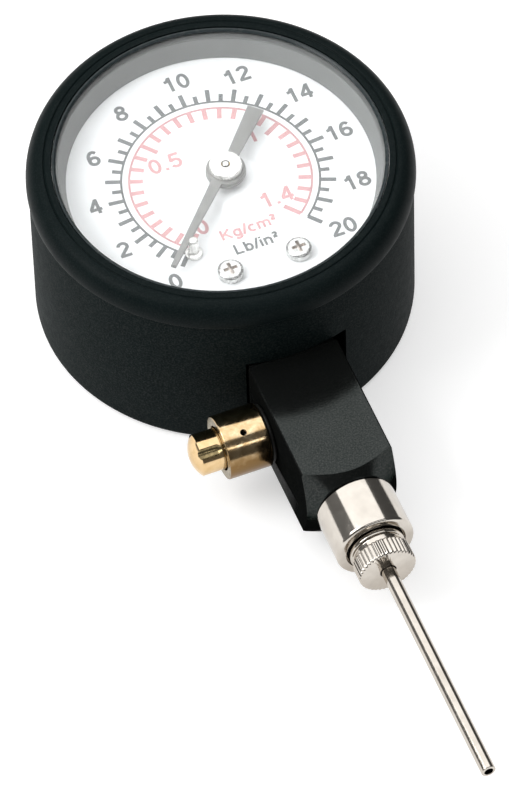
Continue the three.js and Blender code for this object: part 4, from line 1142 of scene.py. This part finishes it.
blade = stamped("pointer", BLADE, BLADE_LOW, BLADE_HIGH, BLADE_EDGE)
eye = lathe("eye", [
    (0, BLADE_LOW), (EYE_RADIUS, BLADE_LOW), (EYE_RADIUS, BLADE_HIGH, 0.05), (0, BLADE_HIGH),
], sides=96)
bore = lathe("bore", [(0, 24), (EYE_HOLE, 24), (EYE_HOLE, 26), (0, 26)], sides=64)
blade = carve(carve(blade, [eye], "UNION"), [bore])
blade.transform(AT_REST)
hand_over(beside(blade, POINTER_AXIS), pointer_grey, "pointer", "pointer_grey", ["pointer_blade"])

# %% Hub
HUB_FLANGE, HUB_NECK, HUB_CAP, HUB_BORE = 2.7, 1.5, 2.2, 0.9
HUB_FOOT, HUB_TOP = 24.3, 26.3
PAINT_TOP = 25.0
hub_mesh = lathe("hub", [
    (HUB_BORE, HUB_FOOT), (HUB_FLANGE, HUB_FOOT, 0.12), (HUB_FLANGE, 24.8, 0.08), (HUB_NECK, 24.8),
    (HUB_NECK, 25.4), (HUB_CAP, 25.4, 0.08), (HUB_CAP, HUB_TOP, 0.15), (0.6, HUB_TOP, 0.05),
    (0.6, 25.85), (HUB_BORE, 25.85),
], sides=96)
hand_over(
    beside(hub_mesh, POINTER_AXIS), hub_grey, "pointer", "pointer_grey", ["pointer_hub"],
    stain=pointer_grey, stained=lambda middle: middle.z < PAINT_TOP,
)

# %% [markdown]
# ## Stem
#
# The stem is a piece of square bar. Its end was turned in a lathe, so a cone cuts the
# square: on each flat the cut is a curve that bulges towards the case, and it is deepest
# at the corners. Cutting a square bar with a turned envelope gives that curve without
# drawing it. Inside the case the bar is a little thinner and carries the movement.

# %% Stem bar and its turned end
STEM_END = 46.9
CONE_FOOT = 46.8
CONE_END_RADIUS = 5.3
CONE_SLOPE = 1.44
OUTER_START = 25.2
INNER_HALF, INNER_START = 6.05, 9.5

square = block(
    "stem", (-STEM_HALF, -STEM_HALF, OUTER_START), (STEM_HALF, STEM_HALF, STEM_END + 2), ON_STEM,
    edge=0.4,
)
widest = STEM_HALF * 1.5
envelope = lathe("envelope", [
    (0, 20), (widest, 20), (widest, CONE_FOOT - (widest - CONE_END_RADIUS) / CONE_SLOPE, 0.3),
    (CONE_END_RADIUS, CONE_FOOT, 0.1), (CONE_END_RADIUS - 0.1, STEM_END), (0, STEM_END),
], ON_STEM, sides=160)
bar = carve(square, [envelope], "INTERSECT")
print("stem bar with its cone:", len(bar.polygons), "faces")

# %% Inner end of the stem and its holes
SLEEVE_HOLE, SLEEVE_HOLE_FLOOR = 3.6, 41.4
VALVE_HOLE, VALVE_HOLE_FLOOR = 3.05, -0.85
inside = block(
    "inside", (-INNER_HALF, -INNER_HALF, INNER_START), (INNER_HALF, INNER_HALF, OUTER_START + 0.4),
    ON_STEM, edge=0.25,
)
sleeve_hole = lathe("hole", [
    (0, SLEEVE_HOLE_FLOOR), (SLEEVE_HOLE, SLEEVE_HOLE_FLOOR), (SLEEVE_HOLE, 50), (0, 50),
], ON_STEM, sides=64)
valve_hole = lathe("hole", [
    (0, VALVE_HOLE_FLOOR), (VALVE_HOLE, VALVE_HOLE_FLOOR), (VALVE_HOLE, 8), (0, 8),
], ON_VALVE, sides=64)
bar = carve(carve(bar, [inside], "UNION"), [sleeve_hole, valve_hole])
hand_over(bar, stem_black, "gauge_body", "stem_black", ["stem_block"], crease=28)

# %% [markdown]
# ## Bleed valve
#
# Pressing the brass button lets air out of the ball. The body is a turned sleeve with a
# small vent drilled in its side, and a rubber ring seals it to the stem. The button is a
# plunger with a domed end and a round groove along its side, which lets the air pass.
# The groove and the flat ring round the body's mouth take a darker brass.

# %% Places round the valve
VENT_TURN = 22
GROOVE_TURN = 37


def round_valve(degrees):
    """Place on the valve's axis, turned from the dial side towards the needle."""
    return ON_VALVE @ Matrix.Rotation(-math.radians(degrees), 4, "Z")


def from_valve_axis(middle):
    """Distance from the valve's axis, in millimetres."""
    return math.hypot(middle.y + VALVE_DISTANCE, middle.z - AXIS_HEIGHT)


print("vent at", VENT_TURN, "degrees and groove at", GROOVE_TURN)

# %% Valve body
BODY_RADIUS, BODY_BORE = 4.4, 3.45
BODY_ROOT, BODY_MOUTH = 7.1, 13.15
MOUTH_RADIUS = 3.1
VENT_RADIUS, VENT_DISTANCE = 0.45, 10.25
body_mesh = lathe("bleed_valve", [
    (0.7, 2.75), (2.9, 2.75, 0.1), (2.9, BODY_ROOT), (BODY_RADIUS, BODY_ROOT, 0.2),
    (BODY_RADIUS, BODY_MOUTH, 0.18), (MOUTH_RADIUS, BODY_MOUTH, 0.12), (MOUTH_RADIUS, 12.55),
    (BODY_BORE, 12.55), (BODY_BORE, 8.55), (0.7, 8.55),
], ON_VALVE)
across = Matrix.Translation((0, 0, VENT_DISTANCE)) @ Matrix.Rotation(math.radians(90), 4, "Y")
vent = lathe("vent", [
    (0, 3.2), (VENT_RADIUS, 3.2), (VENT_RADIUS, 5), (0, 5),
], round_valve(VENT_TURN) @ across, sides=32)


def in_mouth(middle):
    """Whether a face belongs to the flat ring round the body's opening."""
    return middle.x < -BODY_MOUTH + 0.05 and from_valve_axis(middle) < BODY_RADIUS - 0.3


hand_over(
    carve(body_mesh, [vent]), brass, "gauge_body", "brass", ["valve_body"],
    stain=darker_brass, stained=in_mouth,
)


# %% Rubber ring
def round_section(radius, height, section, steps=16):
    """Outline of a ring of round section."""
    turns = [2 * math.pi * k / steps for k in range(steps)]
    return [(radius + section * math.cos(turn), height + section * math.sin(turn)) for turn in turns]


valve_ring_mesh = lathe("valve_ring", round_section(3.75, 6.7, 0.3), ON_VALVE, sides=96)
hand_over(valve_ring_mesh, rubber, "gauge_body", "rubber", ["valve_o_ring"])

# %% Button
BUTTON_RADIUS = 2.85
BUTTON_RIM, BUTTON_TOP = 16.3, 17.35
GUIDE_RADIUS = 3.3
GUIDE_LOW, GUIDE_HIGH = 11.65, 12.45
GROOVE_RADIUS, GROOVE_START = 0.95, 13.3


def dome(radius, low, high, steps=14):
    """Outline of a shallow dome, from its rim to its top."""
    height = high - low
    sphere = (radius ** 2 + height ** 2) / (2 * height)
    half = math.asin(radius / sphere)
    angles = [half * (1 - k / steps) for k in range(steps + 1)]
    return [(sphere * math.sin(a), high - sphere + sphere * math.cos(a)) for a in angles]


button_mesh = lathe("button", [
    (0, 1.45), (0.6, 1.45), (0.6, GUIDE_LOW), (GUIDE_RADIUS, GUIDE_LOW, 0.05),
    (GUIDE_RADIUS, GUIDE_HIGH, 0.05), (BUTTON_RADIUS, GUIDE_HIGH),
    *dome(BUTTON_RADIUS, BUTTON_RIM, BUTTON_TOP),
], ON_VALVE)
along_groove = round_valve(GROOVE_TURN) @ Matrix.Translation((BUTTON_RADIUS + 0.5, 0, 0))
groove = lathe("groove", [
    (0, GROOVE_START), (0.6, GROOVE_START, 0.2), (GROOVE_RADIUS, GROOVE_START + 0.6, 0.3),
    (GROOVE_RADIUS, 19), (0, 19),
], along_groove, sides=64)


def in_groove(middle):
    """Whether a face belongs to the groove in the button's side."""
    along = -BUTTON_RIM + 0.1 < middle.x < -GROOVE_START + 0.3
    return along and from_valve_axis(middle) < BUTTON_RADIUS - 0.04


hand_over(
    carve(button_mesh, [groove]), rubbed_brass, "valve_button", "brass", ["valve_button"],
    stain=darker_brass, stained=in_groove,
)

# %% [markdown]
# ## Valve spring
#
# A coil spring inside the body pushes the button out. Geometry Nodes have a spiral curve
# for it, and a round profile swept along that makes the wire. When the button is pressed
# the coil shortens towards its fixed end.

# %% Tree: a coil of wire
def coil_tree():
    inputs = {
        "Radius": "Float", "Height": "Float", "Turns": "Float", "Wire": "Float", "Steps": "Int",
        "Material": "Material",
    }
    tree, given = start_tree("coil_of_wire", inputs)
    spiral = add(
        tree, "GeometryNodeCurveSpiral",
        {"Resolution": given["Steps"], "Rotations": given["Turns"], "Start Radius": given["Radius"],
         "End Radius": given["Radius"], "Height": given["Height"]},
    )
    wire = add(tree, "GeometryNodeCurvePrimitiveCircle", {"Resolution": 12, "Radius": given["Wire"]})
    swept = add(
        tree, "GeometryNodeCurveToMesh",
        {"Curve": spiral.outputs[0], "Profile Curve": wire.outputs[0], "Fill Caps": True},
    )
    end_tree(tree, swept.outputs[0], given["Material"])
    return tree


coil_of_wire = coil_tree()
print("tree ready:", coil_of_wire.name)

# %% Coil spring
SPRING_RADIUS, SPRING_WIRE, SPRING_TURNS = 2.45, 0.25, 3.5
SPRING_FIRST, SPRING_LAST = 8.9, 11.3
coil = grow(
    "valve_coil", bpy.data.meshes.new("empty"), coil_of_wire, screw_steel, Radius=SPRING_RADIUS,
    Height=SPRING_LAST - SPRING_FIRST, Turns=SPRING_TURNS, Wire=SPRING_WIRE, Steps=48,
)
coil.transform(ON_VALVE @ Matrix.Translation((0, 0, SPRING_FIRST)))
valve_coil = hand_over(coil, screw_steel, "gauge_body", "screw_steel", ["valve_spring"], crease=60)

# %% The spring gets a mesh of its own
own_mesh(valve_coil)

# %% [markdown]
# ## Outlet sleeve
#
# A nickel-plated sleeve is screwed into the end of the stem and takes the needle. Its
# outer edge is well rounded, and its mouth has a rim round a shallow recess.

# %% Outlet sleeve
SLEEVE_RADIUS, SLEEVE_MOUTH = 5.45, 4.15
SLEEVE_ROOT, SLEEVE_END = 47.2, 54.5
sleeve_mesh = lathe("outlet", [
    (1.25, 41.9), (3.45, 41.9, 0.2), (3.45, SLEEVE_ROOT), (SLEEVE_RADIUS, SLEEVE_ROOT, 0.2),
    (SLEEVE_RADIUS, SLEEVE_END, 0.55), (SLEEVE_MOUTH, SLEEVE_END, 0.15), (SLEEVE_MOUTH, 53.0),
    (3.2, 53.0, 0.1), (3.2, 48.7), (1.25, 48.7),
], ON_STEM, sides=160, steps=6)
hand_over(sleeve_mesh, nickel, "gauge_body", "nickel", ["outlet_sleeve"])

# %% [markdown]
# ## Needle
#
# The needle unscrews from the sleeve. It has a threaded root, a thin neck with a rubber
# ring, a smooth flange, a knurled collar to grip, and a hollow tube with a rounded tip.
# The knurl is forty straight ridges: a tree pulls the skin of a smooth collar inwards
# between them, so that the collar stays one closed surface.

# %% Needle ring
needle_ring_mesh = lathe("needle_ring", round_section(3.45, 53.6, 0.5, 24), ON_STEM)
hand_over(needle_ring_mesh, rubber, "needle_ring", "rubber", ["needle_o_ring"])


# %% Tree: straight ridges round a turned piece
def knurl_tree():
    inputs = {
        "Ridges": "Float", "Depth": "Float", "Radius": "Float", "Low": "Float", "High": "Float",
        "Material": "Material",
    }
    tree, given = start_tree("straight_ridges", inputs)
    place = add(tree, "GeometryNodeInputPosition").outputs[0]
    x, y, z = add(tree, "ShaderNodeSeparateXYZ", {"Vector": place}).outputs[:3]
    angle = math_node(tree, "ARCTAN2", y, x)
    wave = math_node(tree, "COSINE", math_node(tree, "MULTIPLY", angle, given["Ridges"]))
    valley = math_node(tree, "MULTIPLY_ADD", wave, -0.5, 0.5)
    flat = add(tree, "ShaderNodeCombineXYZ", {"X": x, "Y": y}).outputs[0]
    radius = add(tree, "ShaderNodeVectorMath", {0: flat}, operation="LENGTH").outputs["Value"]
    skin = math_node(tree, "GREATER_THAN", radius, given["Radius"])
    above = math_node(tree, "GREATER_THAN", z, given["Low"])
    below = math_node(tree, "LESS_THAN", z, given["High"])
    there = math_node(tree, "MULTIPLY", skin, math_node(tree, "MULTIPLY", above, below))
    depth = math_node(tree, "MULTIPLY", math_node(tree, "MULTIPLY", valley, given["Depth"]), there)
    inwards = add(tree, "ShaderNodeVectorMath", {0: flat}, operation="NORMALIZE").outputs[0]
    move = add(
        tree, "ShaderNodeVectorMath", {0: inwards, "Scale": math_node(tree, "MULTIPLY", depth, -1.0)},
        operation="SCALE",
    ).outputs[0]
    moved = add(tree, "GeometryNodeSetPosition", {"Geometry": given["Geometry"], "Offset": move})
    end_tree(tree, moved.outputs[0], given["Material"])
    return tree


straight_ridges = knurl_tree()
print("tree ready:", straight_ridges.name)

# %% Threaded root and collar
KNURL_LOW, KNURL_HIGH = 56.1, 58.75
RIDGES, RIDGE_DEPTH = 40.0, 0.16
COLLAR_RADIUS = 4.0
FLANGE_RADIUS = 3.85
THREAD_START, THREAD_PITCH = 50.45, 0.79
THREAD_ROOT, THREAD_CREST = 2.7, 3.05
NEEDLE_BORE = 0.62
thread = []
for turn in range(3):
    foot = THREAD_START + turn * THREAD_PITCH
    thread += [(THREAD_ROOT, foot), (THREAD_CREST, foot + THREAD_PITCH / 2, 0.05)]
smooth_collar = lathe("needle_collar_skin", [
    (NEEDLE_BORE, 50.0), (THREAD_ROOT, 50.0, 0.1), *thread, (THREAD_ROOT, 52.9), (2.85, 52.9),
    (2.85, 54.2), (FLANGE_RADIUS, 54.2, 0.15), (FLANGE_RADIUS, 55.15, 0.2), (3.45, 55.25, 0.1),
    (3.45, KNURL_LOW), (COLLAR_RADIUS, KNURL_LOW, 0.3), (COLLAR_RADIUS, KNURL_HIGH, 0.35),
    (1.15, KNURL_HIGH, 0.04), (1.15, 54.75), (NEEDLE_BORE, 54.75),
], Matrix(), sides=320)
collar_mesh = grow(
    "collar", smooth_collar, straight_ridges, nickel, Ridges=RIDGES, Depth=RIDGE_DEPTH,
    Radius=COLLAR_RADIUS - 0.25, Low=KNURL_LOW - 0.1, High=KNURL_HIGH + 0.1,
)
collar_mesh.transform(ON_STEM)
hand_over(collar_mesh, nickel, "needle", "nickel", ["needle_collar"], crease=40)

# %% Hollow needle
NEEDLE_RADIUS = 1.0
NEEDLE_ROOT, TIP = 54.85, 92.8
needle_mesh = lathe("hollow_needle", [
    (NEEDLE_BORE, NEEDLE_ROOT), (NEEDLE_RADIUS, NEEDLE_ROOT), (NEEDLE_RADIUS, TIP, 0.35),
    (NEEDLE_BORE, TIP, 0.02),
], ON_STEM, sides=64, steps=8)
hand_over(needle_mesh, nickel, "needle", "nickel", ["needle_tube"])

# %% [markdown]
# ## Inside the case
#
# Behind the dial a flat bronze tube, bent to three quarters of a circle, straightens a
# little as pressure rises. Its free end pulls a link, which turns a toothed sector and a
# pinion. The tube bends between the fixed stem and its moving tip. The pinion is a staff
# with twelve copies of one leaf. They start half a step from the line to the sector's
# pivot, so that a gap between leaves faces the sector.

# %% Pressure tube
TUBE_START, TUBE_SWEEP = -86, 289
TUBE_RADIUS = 17.5
TUBE_THICKNESS, TUBE_HEIGHT = 1.8, 6.0
tube_mesh = grow(
    "pressure_tube", bpy.data.meshes.new("empty"), section_along_arc, bronze,
    Radius=TUBE_RADIUS * MM, Start=math.radians(TUBE_START), Sweep=math.radians(TUBE_SWEEP),
    Width=TUBE_THICKNESS * MM, Thickness=TUBE_HEIGHT * MM, Rounding=0.85 * MM,
    Level=AXIS_HEIGHT * MM, Steps=96,
)
pressure_tube = dress(beside(tube_mesh, POINTER_AXIS), bronze, "bronze", ["bourdon_tube"])
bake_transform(pressure_tube)
print("pressure tube:", len(tube_mesh.polygons), "faces between the body and the tip")

# %% Pinion
LEAF_COUNT = 12
LEAF_STEP = 360 / LEAF_COUNT
PINION_BEARING = 57.2
PINION_PHASE = 180 + PINION_BEARING + LEAF_STEP / 2
LEAF_LOW, LEAF_HIGH = 17.81, 19.21
STAFF_RADIUS, PIVOT_RADIUS, BARREL_RADIUS = 0.75, 0.5, 1.0
ARBOR_END = 25.9
staff = lathe("pinion", [
    (0, 16.11), (PIVOT_RADIUS, 16.11, 0.08), (PIVOT_RADIUS, 17.11), (STAFF_RADIUS, 17.11),
    (STAFF_RADIUS, 19.43), (BARREL_RADIUS, 19.43), (BARREL_RADIUS, 20.18), (STAFF_RADIUS, 20.18),
    (STAFF_RADIUS, 25.75), (0.45, 25.75), (0.45, 26.4, 0.12), (0, 26.4),
], sides=48)
HALF_LEAF = [(0.98, -0.18), (1.1, -0.2), (1.32, -0.15), (1.49, -0.06)]
whole_leaf = HALF_LEAF + [(x, -y) for x, y in reversed(HALF_LEAF)]
leaves = grow(
    "leaves", stamped("leaf", whole_leaf, LEAF_LOW, LEAF_HIGH, 0.03), copies_round, movement_brass,
    Count=LEAF_COUNT, Radius=0.0, Start=math.radians(PINION_PHASE), Step=math.radians(LEAF_STEP),
)
core = lathe("core", [(0, 17.9), (1.05, 17.9), (1.05, 19.1), (0, 19.1)], sides=48)
pinion_mesh = beside(carve(staff, [core, leaves], "UNION"), POINTER_AXIS)
hand_over(
    pinion_mesh, movement_brass, "pointer", "movement_brass", ["pinion_arbor"],
    stain=screw_steel, stained=lambda middle: middle.z > ARBOR_END,
)

# %% [markdown]
# The plates, pillars, sector, link and small screws keep their CAD meshes. They only get
# the finish that the name of their CAD material asks for.

# %% Plates, sector, link and small pieces
SLOT_FINISHES = {
    "movement_brass": movement_brass, "screw_steel": screw_steel, "bronze": bronze, "rubber": rubber,
}
kept = [node for name, node in sorted(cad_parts.items()) if not node.hide_render]
for node in kept:
    for place in node.material_slots:
        finish_name = place.material.name
        place.link = "OBJECT"
        place.material = SLOT_FINISHES[finish_name]
print("CAD pieces that stay:", ", ".join(node.name for node in kept))

# %% [markdown]
# ## Studio
#
# The gauge lies on a white table under a large soft lamp. A smaller lamp at the left
# puts the bright stripes on the metal, and a strip in front lifts the front edges. The
# table is white for the camera, and for rays that have come off metal or through glass,
# yet it still catches the gauge's shadow. The room is white for the camera alone. Metal
# and glass see it as a dim grey, brighter at the left, which keeps dark stripes on the
# metal and reflections off the window.

# %% Table
TABLE_SIZE = 4.0
TABLE_DROP = 0.0002
PAPER_GREY = (0.70, 0.70, 0.70, 1)
GLOW_LOW, GLOW_HIGH = 0.495, 0.505


def table_finish():
    """Grey paper for light, with a glow that only some rays see."""
    material = bpy.data.materials.new("table_white")
    material.use_nodes = True
    tree = material.node_tree
    tree.nodes.remove(tree.nodes["Principled BSDF"])
    place = add(tree, "ShaderNodeTexCoord").outputs["Object"]
    paper = add(tree, "ShaderNodeBsdfDiffuse", {"Color": PAPER_GREY}).outputs[0]
    path = add(tree, "ShaderNodeLightPath").outputs
    seen = math_node(tree, "MAXIMUM", path["Is Camera Ray"], path["Is Glossy Ray"])
    seen = math_node(tree, "MAXIMUM", seen, path["Is Transmission Ray"])
    cloud = spread(tree, noise(tree, place, 60.0), GLOW_LOW, GLOW_HIGH)
    glow = math_node(tree, "MULTIPLY", seen, cloud)
    light = add(tree, "ShaderNodeEmission", {"Color": (1, 1, 1, 1), "Strength": glow}).outputs[0]
    both = add(tree, "ShaderNodeAddShader", {0: paper, 1: light}).outputs[0]
    tree.links.new(both, tree.nodes["Material Output"].inputs["Surface"])
    return material


def flat_square(name, side):
    half = side / 2
    corners = [(-half, -half, 0), (half, -half, 0), (half, half, 0), (-half, half, 0)]
    mesh = bpy.data.meshes.new(name)
    mesh.from_pydata(corners, [], [(0, 1, 2, 3)])
    return mesh


table_mesh = flat_square("table", TABLE_SIZE)
table_mesh.materials.append(table_finish())
table = bpy.data.objects.new("table", table_mesh)
table.location.z = -TABLE_DROP
bpy.context.collection.objects.link(table)
print("table:", TABLE_SIZE, "m wide")


# %% Lamps
def softbox(name, direction, distance, width, depth, watts):
    """Soft lamp that faces the middle of the gauge from a direction."""
    lamp = bpy.data.lights.new(name, "AREA")
    lamp.shape, lamp.size, lamp.size_y, lamp.energy = "RECTANGLE", width, depth, watts
    lamp_object = bpy.data.objects.new(name, lamp)
    towards = Vector(direction).normalized()
    lamp_object.location = towards * distance
    across = Vector((0, 1, 0)).cross(towards).normalized()
    facing = Matrix((across, towards.cross(across), towards)).transposed()
    lamp_object.rotation_euler = facing.to_euler()
    bpy.context.collection.objects.link(lamp_object)
    print(f"{name}: {watts} W, {distance} m away")


softbox("overhead", (-0.02, 0.25, 1.0), distance=0.5, width=0.82, depth=0.74, watts=3.0)
softbox("key", (-0.9, 0.1, 0.9), distance=0.6, width=0.3, depth=0.3, watts=1.9)
softbox("front_strip", (0.2, -0.8, 0.65), distance=0.6, width=0.5, depth=0.06, watts=0.28)

# %% Room
ROOM_WARMTH = (1.0, 0.995, 0.985, 1)
ROOM_LEFT, ROOM_RIGHT = 0.20, 0.07


def light_room():
    """World that is white for the camera and dim for all other rays."""
    room = bpy.data.worlds.new("room")
    room.use_nodes = True
    tree = room.node_tree
    ray = add(tree, "ShaderNodeTexCoord").outputs["Generated"]
    sideways = add(tree, "ShaderNodeSeparateXYZ", {"Vector": ray}).outputs["X"]
    inputs = {
        "Value": sideways, "From Min": -1.0, "From Max": 1.0, "To Min": ROOM_LEFT, "To Max": ROOM_RIGHT,
    }
    level = add(tree, "ShaderNodeMapRange", inputs).outputs["Result"]
    seen = add(tree, "ShaderNodeLightPath").outputs["Is Camera Ray"]
    strength = add(tree, "ShaderNodeMix", {"Factor": seen, "A": level, "B": 1.0}).outputs["Result"]
    background = tree.nodes["Background"]
    tree.links.new(strength, background.inputs["Strength"])
    background.inputs["Color"].default_value = ROOM_WARMTH
    return room


scene.world = light_room()
scene.view_settings.view_transform = "Standard"
print("room strength from", ROOM_LEFT, "at the left to", ROOM_RIGHT, "at the right")
